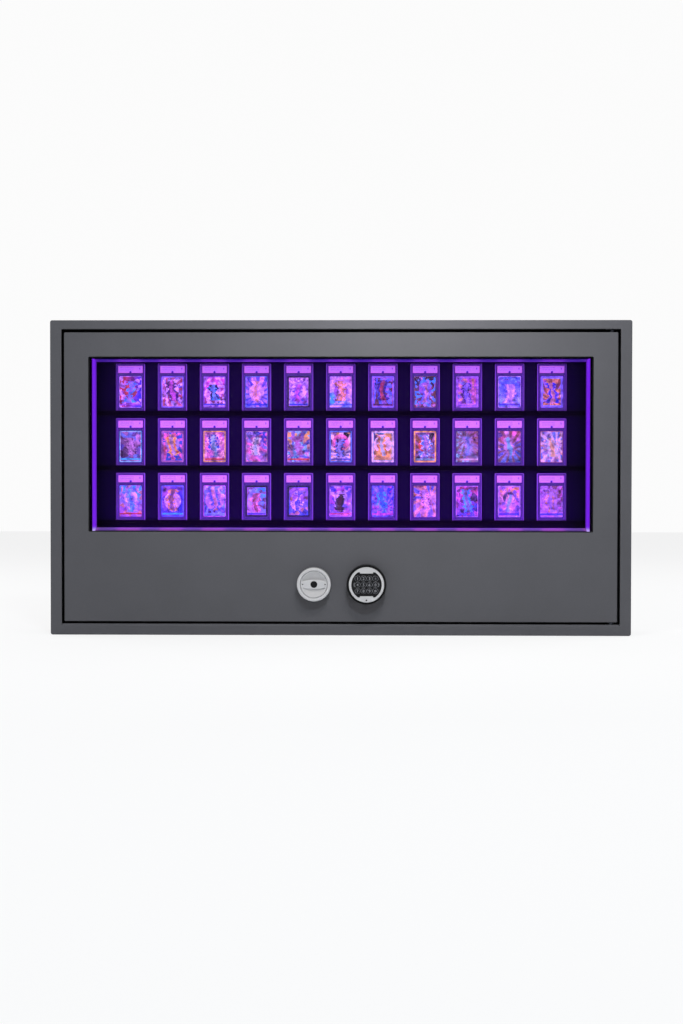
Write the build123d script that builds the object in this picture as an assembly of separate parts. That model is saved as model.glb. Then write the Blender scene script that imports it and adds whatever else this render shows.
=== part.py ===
from build123d import *
import math
import os

# Wall-mounted display case for graded trading cards. All sizes are in millimetres.
# X runs to the right, Y into the wall and Z up. The origin lies on the wall plane, at the
# centre of the anchor holes. Depths are distances out from the wall, so y = -depth.

# --- Case ---
case_width = 1620.0
case_height = 878.0
case_depth = 150.0
case_corner_radius = 6.0
case_inner_radius = 2.0
case_wall = 6.0
back_thickness = 6.0
frame_thickness = 6.0
frame_side = 31.0
frame_top = 25.0
frame_bottom = 31.0
frame_edge_round = 2.0
sill_bevel_height = 5.0
sill_bevel_depth = 4.0
cut_margin = 1.0
plane_tolerance = 0.01

# --- Wall anchors and cable entry ---
anchor_spacing_x = 1200.0
anchor_spacing_z = 260.0
anchor_hole_radius = 6.5
cable_hole_radius = 13.0
cable_bore_radius = 8.0
cable_entry_from_right = 190.0
cable_entry_from_bottom = 54.0
grommet_lip = 3.0

# --- Door ---
door_gap_side = 8.0
door_gap_top = 9.0
door_gap_bottom = 7.0
door_depth = 44.0
door_skin_thickness = 6.0
door_corner_radius = 3.0
door_wall = 5.0
door_lip_width = 60.0
door_lip_thickness = 4.0
door_edge_round = 1.5

# --- Window ---
window_margin_side = 67.5
window_margin_top = 67.0
window_height = 489.0
window_corner_radius = 4.0
glass_overlap = 12.0
glass_thickness = 20.0
gasket_thickness = 4.0
gasket_lip = 2.0
gasket_setback = 1.0
retainer_thickness = 3.0
retainer_flange = 14.0

# --- Door seal and inner cover ---
seal_width = 8.0
seal_inset = 36.0
seat_clearance = 0.3
cover_thickness = 3.0
cover_inset = 47.0
cover_bottom_inset = 51.0
cover_top_drop = 17.0

# --- Hinge pivots ---
pivot_from_edge = 15.0
pivot_from_front = 14.0
pin_radius = 5.5
pin_reach = 35.0
pin_collar_radius = 8.0
bush_wall = 2.0
running_fit = 0.05
hinge_block_width = 30.0
hinge_block_depth = 20.0
hinge_sleeve_height = 40.0

# --- Facia and lit space ---
facia_gap = 6.0
facia_thickness = 3.0
liner_thickness = 2.0
display_margin = 0.5
display_top_drop = 1.0
panel_thickness = 3.0
holder_recess = 90.0
standoff_radius = 8.0

# --- Card holders, three rows of eleven ---
holder_width = 82.5
holder_height = 136.5
holder_thickness = 6.5
holder_chamfer = 2.0
holder_cover = 2.0
pocket_depth = 1.5
holder_columns = 11
holder_rows = 3
holder_side_margin = 61.75
holder_top_margin = 10.25
row_pitch = 156.0
card_width = 63.5
card_height = 88.9
card_thickness = 0.5
card_well_width = 66.8
card_well_height = 95.5
card_well_bottom = 8.5
label_width = 70.0
label_height = 20.0
label_clearance = 0.5
label_top_margin = 6.5
shelf_thickness = 12.0
shelf_lip_height = 2.0
shelf_lip_thickness = 2.5
shelf_lip_clearance = 1.0
shelf_hem_height = 5.0

# --- Light bars ---
light_bar_depth = 22.0
light_bar_front = 1.5
light_bar_rise_side = 9.5
light_bar_rise_top = 7.0
light_bar_rise_bottom = 9.0
diffuser_thickness = 1.5
channel_wall = 1.2

# --- LED driver ---
driver_length = 180.0
driver_height = 52.0
driver_depth = 30.0
driver_from_right = 430.0
driver_from_bottom = 139.0
driver_foot = 14.0
driver_foot_thickness = 3.0
driver_hole_radius = 2.5
driver_fin_count = 9
driver_fin_depth = 4.0

# --- Boltwork ---
gear_module = 1.5
pinion_teeth = 18
pressure_angle = 20.0
gear_backlash = 0.24
pinion_face = 9.0
spindle_radius = 7.0
bolt_radius = 9.0
bolt_tip_chamfer = 2.0
bolt_count = 5
bolt_margin_top = 75.0
bolt_margin_bottom = 71.0
bolt_recess = 1.0
sleeve_wall = 3.0
sleeve_length = 6.5
boltwork_setback = 26.0
bolt_bar_inset = 31.0
bolt_bar_width = 8.0
bolt_bar_depth = 20.0
bolt_bar_overrun = 16.0
rack_height = 12.0
rack_thickness = 8.0
rack_overlap = 40.0
guide_width = 24.0
guide_wall = 5.0
guide_clearance = 0.4
guides_per_rack = 3
guide_from_bar = 82.0
guide_left_of_handle = 94.0
guide_right_of_handle = 186.0
strike_gap = 0.6
strike_setback = 3.0
bronze_wall = 4.0
bronze_flange = 1.6

# --- Handle ---
handle_x = -72.4
handle_drop = 19.4
handle_radius = 47.5
handle_ring_depth = 26.0
handle_ring_round = 3.0
rotor_radius = 37.3
rotor_gap = 0.35
rotor_rim = 2.3
rotor_lift = 2.0
rotor_recess = 12.0
rotor_drop = 1.0
rotor_edge_chamfer = 1.0
bowl_waist_radius = 0.72
bowl_waist_depth = 0.42
grip_half_height = 14.0
grip_end_half_height = 9.0
grip_drop = 1.0
grip_round = 2.5
hub_cap_radius = 9.5
hub_cap_depth = 3.0
hub_cap_groove = 0.15
dimple_radius = 2.0
dimple_depth = 2.5
dimple_offset = 31.0
spindle_tail = 10.0
spindle_socket = 9.0

# --- Lock ---
lock_from_handle = 44.0
lock_width = 84.0
lock_height = 61.0
lock_thickness = 32.0
lock_rise = 24.5
lock_slot_width = 24.0
lock_slot_height = 42.0
lock_corner_radius = 3.0
lock_edge_chamfer = 1.0
swing_pivot_from_left = 9.0
swing_pivot_rise = 44.0
swing_length = 28.0
swing_half_width = 4.5
swing_pin_radius = 3.0
swing_pin_reach = 4.0
swing_thickness = 8.0
swing_clearance = 0.5

# --- Keypad ---
keypad_x = 73.5
keypad_base_radius = 55.0
keypad_base_depth = 30.0
keypad_base_round = 2.0
faceplate_radius = 49.0
faceplate_thickness = 5.0
faceplate_round = 1.5
panel_radius = 42.0
panel_half_height = 31.5
panel_inlay_thickness = 3.5
panel_fit = 0.15
step_from_centre = 18.0
step_half_height = 34.8
indicator_radius = 2.5
indicator_drop = 43.0
indicator_sink = 1.0
key_pocket_depth = 5.0
key_radius = 6.8
key_gap = 0.35
key_flange = 0.9
key_flange_thickness = 1.5
key_stand = 1.7
key_columns = 4
key_rows = 3
key_pitch_x = 16.5
key_pitch_z = 17.3
cable_radius = 1.75
cable_offset_x = 15.0
cable_offset_z = 8.0
cable_hole_clearance = 2.0
cable_plug_depth = 6.0

# --- Battery drawer ---
battery_width = 48.5
battery_thickness = 17.5
battery_height = 26.5
battery_corner_radius = 2.0
battery_bottom = -45.5
battery_clearance = 0.35
drawer_half_width = 28.0
drawer_top = -15.0
drawer_front_wall = 3.0
drawer_clearance = 0.3

# --- Places worked out from the sizes above ---
pitch_radius = gear_module * pinion_teeth / 2
bolt_throw = pitch_radius * math.pi / 2

case_bounds = (-case_width / 2, case_width / 2, -case_height / 2, case_height / 2)
cable_entry_x = case_bounds[1] - cable_entry_from_right
cable_entry_z = case_bounds[2] + cable_entry_from_bottom
driver_x = case_bounds[1] - driver_from_right
driver_z = case_bounds[2] + driver_from_bottom


def grown(bounds, by):
    """Bounds (left, right, bottom, top) moved outwards by one distance."""
    left, right, bottom, top = bounds
    return (left - by, right + by, bottom - by, top + by)


inside_bounds = grown(case_bounds, -case_wall)
opening_bounds = (
    case_bounds[0] + frame_side,
    case_bounds[1] - frame_side,
    case_bounds[2] + frame_bottom,
    case_bounds[3] - frame_top,
)
door_bounds = (
    opening_bounds[0] + door_gap_side,
    opening_bounds[1] - door_gap_side,
    opening_bounds[2] + door_gap_bottom,
    opening_bounds[3] - door_gap_top,
)
door_left, door_right, door_bottom, door_top = door_bounds
window_bounds = (
    door_left + window_margin_side,
    door_right - window_margin_side,
    door_top - window_margin_top - window_height,
    door_top - window_margin_top,
)
display_bounds = (
    window_bounds[0] - display_margin,
    window_bounds[1] + display_margin,
    window_bounds[2] + display_top_drop,
    window_bounds[3] - display_top_drop,
)

first_holder_x = display_bounds[0] + holder_side_margin + holder_width / 2
first_holder_z = display_bounds[3] - holder_top_margin - holder_height
column_pitch = -2 * first_holder_x / (holder_columns - 1)

skin_back = case_depth - door_skin_thickness
door_back = case_depth - door_depth
glass_front = skin_back - gasket_thickness
glass_back = glass_front - glass_thickness
facia_front = door_back - facia_gap
facia_back = facia_front - facia_thickness
holder_front = case_depth - holder_recess
holder_back = holder_front - holder_thickness
display_panel_front = holder_back - seat_clearance
display_panel_back = display_panel_front - panel_thickness
frame_back = case_depth - frame_thickness

pivot_x = door_right - pivot_from_edge
pivot_depth = case_depth - pivot_from_front

handle_z = (door_bottom + window_bounds[2]) / 2 - handle_drop
keypad_z = handle_z

boltwork_depth = case_depth - boltwork_setback
bar_outer = door_right - bolt_bar_inset
bar_inner = bar_outer - bolt_bar_width
rack_line_top = handle_z + pitch_radius
rack_line_bottom = handle_z - pitch_radius
rack_root = 1.25 * gear_module
rack_centre_bottom = rack_line_bottom - rack_root - rack_height / 2
lock_left = handle_x + lock_from_handle
lock_right = lock_left + lock_width
lock_centre_z = handle_z + lock_rise
swing_pivot_x = lock_left + swing_pivot_from_left
swing_pivot_z = handle_z + swing_pivot_rise

base_front = case_depth + keypad_base_depth
cable_x = keypad_x + cable_offset_x
cable_z = keypad_z + cable_offset_z


def evenly(first, last, count):
    """Evenly spaced places from the first to the last."""
    return [first + (last - first) * index / (count - 1) for index in range(count)]


bolt_heights = evenly(door_bottom + bolt_margin_bottom, door_top - bolt_margin_top, bolt_count)
outer_guide = bar_inner - guide_from_bar
left_guides = evenly(-outer_guide, handle_x - guide_left_of_handle, guides_per_rack)
right_guides = evenly(handle_x + guide_right_of_handle, outer_guide, guides_per_rack)


# --- Shared shapes ---
def panel(bounds, radius=0.0):
    """X-Z rectangle between four edges, with rounded corners where a radius is given."""
    left, right, bottom, top = bounds
    width = right - left
    height = top - bottom
    shape = RectangleRounded(width, height, radius) if radius else Rectangle(width, height)
    return Pos((left + right) / 2, (bottom + top) / 2) * shape


def raised(profile, depth_from, depth_to):
    """An X-Z profile extruded between two distances in front of the wall."""
    return extrude(Plane.XZ.offset(depth_from) * profile, depth_to - depth_from)


def rod_y(radius, x, z, depth_from, depth_to):
    """A round bar along Y between two depths."""
    return raised(Pos(x, z) * Circle(radius), depth_from, depth_to)


def rod_x(radius, x_from, x_to, depth, z):
    """A round bar along X."""
    plane = Plane(origin=(x_from, -depth, z), x_dir=(0, 1, 0), z_dir=(1, 0, 0))
    return extrude(plane * Circle(radius), x_to - x_from)


def rod_z(radius, x, depth, z_from, z_to):
    """A round bar along Z."""
    return extrude(Plane.XY.offset(z_from) * Pos(x, -depth) * Circle(radius), z_to - z_from)


def bar_along_x(profile_points, x_from, x_to):
    """A (depth, z) outline extruded along X."""
    outline = Polyline([(x_from, -depth, z) for depth, z in profile_points], close=True)
    return extrude(make_face(outline), x_to - x_from, dir=(1, 0, 0))


def bar_along_z(profile_points, z_from, z_to):
    """An (x, depth) outline extruded along Z."""
    outline = Polyline([(x, -depth, z_from) for x, depth in profile_points], close=True)
    return extrude(make_face(outline), z_to - z_from, dir=(0, 0, 1))


def front_edges(solid, depth):
    """The edges that lie in the plane at one depth."""
    near, far = -depth - plane_tolerance, -depth + plane_tolerance
    return solid.edges().filter_by_position(Axis.Y, near, far)


def together(pieces):
    """Separate solids of one node."""
    return Compound(children=list(pieces))


# --- Case ---
def make_case_wrapper():
    """Side walls: one folded strip, open at front and back."""
    walls = panel(case_bounds, case_corner_radius) - panel(inside_bounds, case_inner_radius)
    return raised(walls, 0, frame_back)


def make_front_frame():
    """Flat frame round the door opening, with rounded front edges and a bevelled sill."""
    face = panel(case_bounds, case_corner_radius) - panel(opening_bounds, door_corner_radius)
    frame = raised(face, frame_back, case_depth)
    frame = fillet(front_edges(frame, case_depth), frame_edge_round)
    left, right, sill, _ = opening_bounds
    drop = sill_bevel_height * (1 + cut_margin / sill_bevel_depth)
    bevel = [
        (left, -(case_depth - sill_bevel_depth), sill),
        (left, -(case_depth + cut_margin), sill - drop),
        (left, -(case_depth + cut_margin), sill),
    ]
    return frame - extrude(make_face(Polyline(bevel, close=True)), right - left, dir=(1, 0, 0))


def anchor_points():
    """Wall-anchor places: four corners and a middle pair."""
    columns = (-anchor_spacing_x / 2, 0.0, anchor_spacing_x / 2)
    rows = (-anchor_spacing_z / 2, anchor_spacing_z / 2)
    return [(x, z) for x in columns for z in rows]


def standoff_points():
    """Places of the standoffs that carry the display panel, near its edges and middle."""
    left, right, bottom, top = grown(display_bounds, -2 * standoff_radius)
    return [(x, z) for x in (left, 0.0, right) for z in (bottom, top)]


def make_back_plate():
    """Back plate with anchor holes, the cable hole and welded standoffs."""
    face = panel(grown(inside_bounds, -seat_clearance), case_inner_radius)
    for x, z in anchor_points():
        face -= Pos(x, z) * Circle(anchor_hole_radius)
    face -= Pos(cable_entry_x, cable_entry_z) * Circle(cable_hole_radius)
    plate = raised(face, 0, back_thickness)
    for x, z in standoff_points():
        plate += rod_y(standoff_radius, x, z, back_thickness, display_panel_back)
    return plate


def make_cable_grommet():
    """Rubber grommet that snaps into the cable hole with a lip on each side."""
    x, z = cable_entry_x, cable_entry_z
    inner_lip = back_thickness + grommet_lip
    body = rod_y(cable_hole_radius, x, z, 0, inner_lip)
    body += rod_y(cable_hole_radius + grommet_lip, x, z, back_thickness, inner_lip)
    return body - rod_y(cable_bore_radius, x, z, 0, inner_lip)


def make_strike_bars():
    """Bars welded behind the frame, left and right, that the bolts lock behind."""
    top = inside_bounds[3] - case_inner_radius
    depth_from = boltwork_depth + bolt_radius + strike_gap
    right_bar = (opening_bounds[1] + strike_setback, inside_bounds[1], -top, top)
    left_bar = (inside_bounds[0], opening_bounds[0] - strike_setback, -top, top)
    return together(raised(panel(bar), depth_from, frame_back) for bar in (left_bar, right_bar))


def hinge_block(z_from, z_to):
    """One pivot block, bored for its pin."""
    left = pivot_x - hinge_block_width / 2
    right = min(pivot_x + hinge_block_width / 2, opening_bounds[1])
    face = panel((left, right, z_from, z_to))
    block = raised(face, frame_back - hinge_block_depth, frame_back)
    return block - rod_z(pin_radius + running_fit / 2, pivot_x, pivot_depth, z_from, z_to)


def make_hinge_blocks():
    """Pivot blocks above and below the door."""
    upper = hinge_block(opening_bounds[3], inside_bounds[3])
    lower = hinge_block(inside_bounds[2], opening_bounds[2])
    return together([upper, lower])


def make_hinge_pins():
    """Pivot pins. The lower one has a collar that carries the door."""
    upper = rod_z(pin_radius, pivot_x, pivot_depth, door_top - pin_reach, inside_bounds[3])
    lower = rod_z(pin_radius, pivot_x, pivot_depth, inside_bounds[2], door_bottom + pin_reach)
    collar_top = door_bottom - running_fit
    lower += rod_z(pin_collar_radius, pivot_x, pivot_depth, opening_bounds[2], collar_top)
    return together([upper, lower])


def make_facia_plate():
    """Inner facia that fills the case round the lit space."""
    face = panel(grown(inside_bounds, -seat_clearance), case_inner_radius) - panel(display_bounds)
    return raised(face, facia_back, facia_front)


def make_display_surround():
    """Sheet liner of the lit space, from the facia back to behind the panel."""
    walls = panel(grown(display_bounds, liner_thickness)) - panel(display_bounds)
    return raised(walls, display_panel_back, facia_back)


def make_display_back_panel():
    """Panel that the holders lean on, resting on the standoffs."""
    return raised(panel(grown(display_bounds, -seat_clearance)), display_panel_back, display_panel_front)


# --- Light bars ---
def light_bar_outlines(rise):
    """Channel and diffuser outlines of one bar, as (height off the wall, depth) points."""
    front = facia_back
    back = front - light_bar_depth
    slope_back = back + channel_wall
    channel = [
        (0, front),
        (channel_wall, front),
        (channel_wall, slope_back),
        (rise - diffuser_thickness, slope_back),
        (rise - diffuser_thickness, back),
        (0, back),
    ]
    diffuser = [
        (channel_wall, front),
        (light_bar_front + channel_wall, front),
        (rise, back),
        (rise - diffuser_thickness, back),
        (rise - diffuser_thickness, slope_back),
    ]
    return channel, diffuser


def light_bars():
    """Channels and diffusers of the four bars: left, right, top and bottom."""
    left, right, bottom, top = display_bounds
    reach = right - light_bar_rise_side - seat_clearance
    channels = []
    diffusers = []
    for store, index in ((channels, 0), (diffusers, 1)):
        side = light_bar_outlines(light_bar_rise_side)[index]
        upper = light_bar_outlines(light_bar_rise_top)[index]
        lower = light_bar_outlines(light_bar_rise_bottom)[index]
        store.append(bar_along_z([(left + rise, depth) for rise, depth in side], bottom, top))
        store.append(bar_along_z([(right - rise, depth) for rise, depth in side], bottom, top))
        store.append(bar_along_x([(depth, top - rise) for rise, depth in upper], -reach, reach))
        store.append(bar_along_x([(depth, bottom + rise) for rise, depth in lower], -reach, reach))
    return together(channels), together(diffusers)


def make_power_supply():
    """LED driver: ribbed housing on two slotted feet."""
    bounds = (
        driver_x - driver_length / 2,
        driver_x + driver_length / 2,
        driver_z - driver_height / 2,
        driver_z + driver_height / 2,
    )
    top = back_thickness + driver_depth
    housing = raised(panel(bounds, 2 * driver_hole_radius), back_thickness, top)
    fin_pitch = driver_length / driver_fin_count
    for index in range(driver_fin_count):
        groove_x = bounds[0] + fin_pitch * (index + 0.5)
        groove = panel((groove_x - fin_pitch / 4, groove_x + fin_pitch / 4, bounds[2], bounds[3]))
        housing -= raised(groove, top - driver_fin_depth, top)
    feet = panel((bounds[0] - driver_foot, bounds[1] + driver_foot, bounds[2], bounds[3]))
    for side in (-1, 1):
        hole_x = driver_x + side * (driver_length + driver_foot) / 2
        feet -= Pos(hole_x, driver_z) * Circle(driver_hole_radius)
    return housing + raised(feet, back_thickness, back_thickness + driver_foot_thickness)


# --- Card holders and shelves ---
def holder_places():
    """Centre x and bottom z of every holder, row by row from the top."""
    rows = [first_holder_z - row_pitch * row for row in range(holder_rows)]
    columns = [first_holder_x + column_pitch * column for column in range(holder_columns)]
    return [(x, z) for z in rows for x in columns]


def holder_outline(x, z):
    """Holder outline with clipped corners."""
    bounds = (x - holder_width / 2, x + holder_width / 2, z, z + holder_height)
    face = panel(bounds)
    return chamfer(face.vertices(), holder_chamfer)


def pocket(x, centre_z, width, height):
    """Rectangular pocket outline centred on a holder."""
    return Pos(x, centre_z) * Rectangle(width, height)


def card_centre_z(z):
    """Height of a card's centre in a holder that stands at z."""
    return z + card_well_bottom + card_well_height / 2


def label_centre_z(z):
    """Height of a label's centre in a holder that stands at z."""
    return z + holder_height - label_top_margin - label_height / 2


def make_holders():
    """Trays, covers, cards and labels of all holders."""
    seam = holder_front - holder_cover
    floor = seam - pocket_depth
    trays = []
    covers = []
    cards = []
    labels = []
    for x, z in holder_places():
        outline = holder_outline(x, z)
        card_z = card_centre_z(z)
        label_z = label_centre_z(z)
        well = pocket(x, card_z, card_well_width, card_well_height)
        well += pocket(x, label_z, label_width + label_clearance, label_height + label_clearance)
        trays.append(raised(outline, holder_back, seam) - raised(well, floor, seam))
        covers.append(raised(outline, seam, holder_front))
        cards.append(raised(pocket(x, card_z, card_width, card_height), floor, floor + card_thickness))
        labels.append(raised(pocket(x, label_z, label_width, label_height), floor, floor + card_thickness))
    return together(trays), together(covers), together(cards), together(labels)


def make_card_shelves():
    """Narrow ledges with a low lip in front of the holders and a hem under the front edge."""
    lip_back = holder_front + shelf_lip_clearance
    front = lip_back + shelf_lip_thickness
    ledges = []
    for row in range(holder_rows):
        top = holder_places()[row * holder_columns][1]
        bottom = top - shelf_thickness
        outline = [
            (display_panel_front, top),
            (lip_back, top),
            (lip_back, top + shelf_lip_height),
            (front, top + shelf_lip_height),
            (front, bottom),
            (lip_back, bottom),
            (lip_back, bottom + shelf_hem_height),
            (display_panel_front, bottom + shelf_hem_height),
        ]
        reach = display_bounds[1] - seat_clearance
        ledges.append(bar_along_x(outline, -reach, reach))
    return together(ledges)


# --- Door shell and glazing ---
def make_door_skin():
    """Front plate with the window opening and the holes for spindle and keypad cable."""
    face = panel(door_bounds, door_corner_radius) - panel(window_bounds, window_corner_radius)
    face -= Pos(handle_x, handle_z) * Circle(spindle_radius + running_fit + bronze_wall)
    face -= Pos(cable_x, cable_z) * Circle(cable_radius + cable_hole_clearance)
    skin = raised(face, skin_back, case_depth)
    outer = panel(grown(door_bounds, cut_margin)) - panel(grown(door_bounds, -2 * door_corner_radius))
    ring = raised(outer, skin_back, case_depth + cut_margin)
    edges = [edge for edge in front_edges(skin, case_depth) if ring.is_inside(edge @ 0.5)]
    return fillet(edges, door_edge_round)


def make_door_edge_channel():
    """Folded door edge: a wall round the door and a lip along its back, bored for bolts and pins."""
    wall = panel(door_bounds, door_corner_radius) - panel(grown(door_bounds, -door_wall))
    lip = panel(door_bounds, door_corner_radius) - panel(grown(door_bounds, -door_lip_width))
    channel = raised(wall, door_back, skin_back) + raised(lip, door_back, door_back + door_lip_thickness)
    sleeve_radius = bolt_radius + running_fit + sleeve_wall
    for z in bolt_heights:
        channel -= rod_x(sleeve_radius, door_right - door_wall, door_right, boltwork_depth, z)
        channel -= rod_x(sleeve_radius, door_left, door_left + door_wall, boltwork_depth, z)
    bush_radius = pin_radius + running_fit + bush_wall
    channel -= rod_z(bush_radius, pivot_x, pivot_depth, door_top - door_wall, door_top)
    channel -= rod_z(bush_radius, pivot_x, pivot_depth, door_bottom, door_bottom + door_wall)
    return channel


def make_glazing_gasket():
    """Rubber gasket: a flange between skin and glass, and a lip that covers the cut edge."""
    inner = grown(window_bounds, -gasket_lip)
    opening = panel(inner, window_corner_radius - gasket_lip)
    flange = panel(grown(window_bounds, glass_overlap)) - opening
    lip = panel(window_bounds, window_corner_radius) - opening
    return raised(flange, glass_front, skin_back) + raised(lip, skin_back, case_depth - gasket_setback)


def make_window_glass():
    """Laminated glass pane, ground square."""
    return raised(panel(grown(window_bounds, glass_overlap)), glass_back, glass_front)


def make_glass_retainer():
    """Z-section frame that clamps the glass to the skin from behind."""
    glass_edge = grown(window_bounds, glass_overlap + seat_clearance)
    web_outside = grown(glass_edge, retainer_thickness)
    flange_outside = grown(web_outside, retainer_flange)
    clamp = raised(
        panel(web_outside) - panel(window_bounds), glass_back - retainer_thickness, glass_back
    )
    web = raised(panel(web_outside) - panel(glass_edge), glass_back - retainer_thickness, skin_back)
    flange = raised(
        panel(flange_outside) - panel(glass_edge), skin_back - retainer_thickness, skin_back
    )
    return clamp + web + flange


def make_door_seal():
    """Rubber seal on the back lip, which meets the facia when the door is shut."""
    ring = panel(grown(door_bounds, -seal_inset)) - panel(grown(door_bounds, -seal_inset - seal_width))
    return raised(ring, facia_front + seat_clearance, door_back)


def make_door_cover():
    """Sheet cover over the boltwork, folded forward along its top edge."""
    left = door_left + cover_inset
    right = door_right - cover_inset
    bottom = door_bottom + cover_bottom_inset
    top = window_bounds[2] - cover_top_drop
    sheet = raised(panel((left, right, bottom, top)), door_back - cover_thickness, door_back)
    inner = door_lip_width + seat_clearance
    fold_left = door_left + inner
    fold_right = door_right - inner
    fold = panel((fold_left, fold_right, top - cover_thickness, top))
    return sheet + raised(fold, door_back, skin_back - retainer_thickness)


# --- Hinge pieces on the door ---
def make_door_hinge_sleeves():
    """Blocks inside the door corners that hold the pivot bushes."""
    left = pivot_x - hinge_block_width / 2
    right = door_right - door_wall
    upper_top = door_top - door_wall
    lower_bottom = door_bottom + door_wall
    blocks = []
    for low, high in (
        (upper_top - hinge_sleeve_height, upper_top),
        (lower_bottom, lower_bottom + hinge_sleeve_height),
    ):
        block = raised(panel((left, right, low, high)), skin_back - hinge_block_depth, skin_back)
        bore = pin_radius + running_fit + bush_wall
        blocks.append(block - rod_z(bore, pivot_x, pivot_depth, low, high))
    return together(blocks)


def make_bronze_bushes():
    """Two pivot bushes and the flanged bush of the handle spindle."""
    bore = pin_radius + running_fit
    pieces = []
    for low, high in (
        (door_top - pin_reach - seat_clearance, door_top),
        (door_bottom, door_bottom + pin_reach + seat_clearance),
    ):
        bush = rod_z(bore + bush_wall, pivot_x, pivot_depth, low, high)
        pieces.append(bush - rod_z(bore, pivot_x, pivot_depth, low, high))
    front = case_depth + bronze_flange
    outer = spindle_radius + running_fit + bronze_wall
    spindle_bush = rod_y(outer, handle_x, handle_z, skin_back - bronze_flange, front)
    for low, high in ((skin_back - bronze_flange, skin_back), (case_depth, front)):
        spindle_bush += rod_y(outer + bronze_wall, handle_x, handle_z, low, high)
    bore_depths = (skin_back - bronze_flange, front)
    spindle_bush -= rod_y(spindle_radius + running_fit, handle_x, handle_z, *bore_depths)
    pieces.append(spindle_bush)
    return together(pieces)


# --- Boltwork ---
def involute_half_angle(radius):
    """Half the angle that one pinion tooth covers at a radius."""
    base_radius = pitch_radius * math.cos(math.radians(pressure_angle))
    at_pitch = (math.pi * gear_module - gear_backlash * 2) / (4 * pitch_radius)
    pitch_involute = math.tan(math.radians(pressure_angle)) - math.radians(pressure_angle)
    if radius <= base_radius:
        return at_pitch + pitch_involute
    angle = math.acos(base_radius / radius)
    return at_pitch + pitch_involute - (math.tan(angle) - angle)


def pinion_outline():
    """Points round the pinion, tooth by tooth from the top."""
    root = pitch_radius - rack_root
    tip = pitch_radius + gear_module
    base = pitch_radius * math.cos(math.radians(pressure_angle))
    radii = (root, base, pitch_radius, (pitch_radius + tip) / 2, tip)
    points = []
    for tooth in range(pinion_teeth):
        centre = math.pi / 2 - 2 * math.pi * tooth / pinion_teeth
        flank = [(radius, involute_half_angle(radius)) for radius in radii]
        rising = [(radius, centre + half) for radius, half in flank]
        falling = [(radius, centre - half) for radius, half in reversed(flank)]
        for radius, angle in rising + falling:
            points.append((handle_x + radius * math.cos(angle), handle_z + radius * math.sin(angle)))
    return points


def make_pinion():
    """Steel pinion on the spindle, between the two racks."""
    face = make_face(Polyline(pinion_outline(), close=True))
    depth_from = boltwork_depth - pinion_face / 2
    depths = (depth_from, depth_from + pinion_face)
    return raised(face, *depths) - rod_y(spindle_radius + running_fit / 2, handle_x, handle_z, *depths)


def rack_outline(x_from, x_to, pitch_line, side, tooth_span):
    """Rack outline: a plain bar with teeth over one span. Side is 1 where the bar lies above."""
    root = pitch_line + side * rack_root
    tip = pitch_line - side * gear_module
    spine = root + side * rack_height
    slope = math.tan(math.radians(pressure_angle))
    half_pitch_width = (math.pi * gear_module / 2 - gear_backlash) / 2
    half_root = half_pitch_width + rack_root * slope
    half_tip = half_pitch_width - gear_module * slope
    pitch = math.pi * gear_module
    count = int(tooth_span / pitch)
    points = [(x_from, spine), (x_from, root)]
    for index in range(-count, count):
        centre = handle_x + (index + 0.5) * pitch
        if centre - half_root <= x_from or centre + half_root >= x_to:
            continue
        points.append((centre - half_root, root))
        points.append((centre - half_tip, tip))
        points.append((centre + half_tip, tip))
        points.append((centre + half_root, root))
    points += [(x_to, root), (x_to, spine)]
    return points


def make_rack(x_from, x_to, pitch_line, side):
    """One toothed bar of the boltwork."""
    tooth_span = bolt_throw + 2 * pitch_radius
    face = make_face(Polyline(rack_outline(x_from, x_to, pitch_line, side, tooth_span), close=True))
    return raised(face, boltwork_depth - rack_thickness / 2, boltwork_depth + rack_thickness / 2)


def make_left_rack():
    """Upper rack, which drives the left bolts."""
    return make_rack(-bar_inner, handle_x + rack_overlap, rack_line_top, 1)


def make_right_rack():
    """Lower rack, which drives the right bolts."""
    return make_rack(handle_x - rack_overlap, bar_inner, rack_line_bottom, -1)


def make_bolt_bar(side):
    """Upright bar that carries one side's bolts."""
    low = min(bolt_heights[0], rack_centre_bottom) - bolt_bar_overrun
    high = bolt_heights[-1] + bolt_bar_overrun
    left, right = sorted((side * bar_inner, side * bar_outer))
    depth_from = boltwork_depth - bolt_bar_depth / 2
    return raised(panel((left, right, low, high)), depth_from, depth_from + bolt_bar_depth)


def make_bolts(side):
    """Round bolts of one side, with chamfered tips, drawn back inside the door edge."""
    tip = door_right - bolt_recess
    bolts = []
    for z in bolt_heights:
        bolt = rod_x(bolt_radius, side * bar_outer, side * tip, boltwork_depth, z)
        tip_range = (side * tip - plane_tolerance, side * tip + plane_tolerance)
        tip_edges = bolt.edges().filter_by_position(Axis.X, *tip_range)
        bolts.append(chamfer(tip_edges, bolt_tip_chamfer))
    return together(bolts)


def make_bolt_sleeves():
    """Bearing sleeves in the door edge, one for each bolt."""
    bore = bolt_radius + running_fit
    sleeves = []
    for side in (-1, 1):
        outer = side * door_right
        inner = side * (door_right - sleeve_length)
        for z in bolt_heights:
            sleeve = rod_x(bore + sleeve_wall, inner, outer, boltwork_depth, z)
            sleeves.append(sleeve - rod_x(bore, inner, outer, boltwork_depth, z))
    return together(sleeves)


def rack_guide(x, low, high):
    """Block on the skin with a slot that a rack slides through."""
    left = x - guide_width / 2
    right = x + guide_width / 2
    reach = rack_thickness / 2 + guide_clearance
    body = panel((left, right, low - guide_clearance - guide_wall, high + guide_clearance + guide_wall))
    block = raised(body, boltwork_depth - reach - guide_wall, skin_back)
    slot = panel((left, right, low - guide_clearance, high + guide_clearance))
    return block - raised(slot, boltwork_depth - reach, boltwork_depth + reach)


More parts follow.
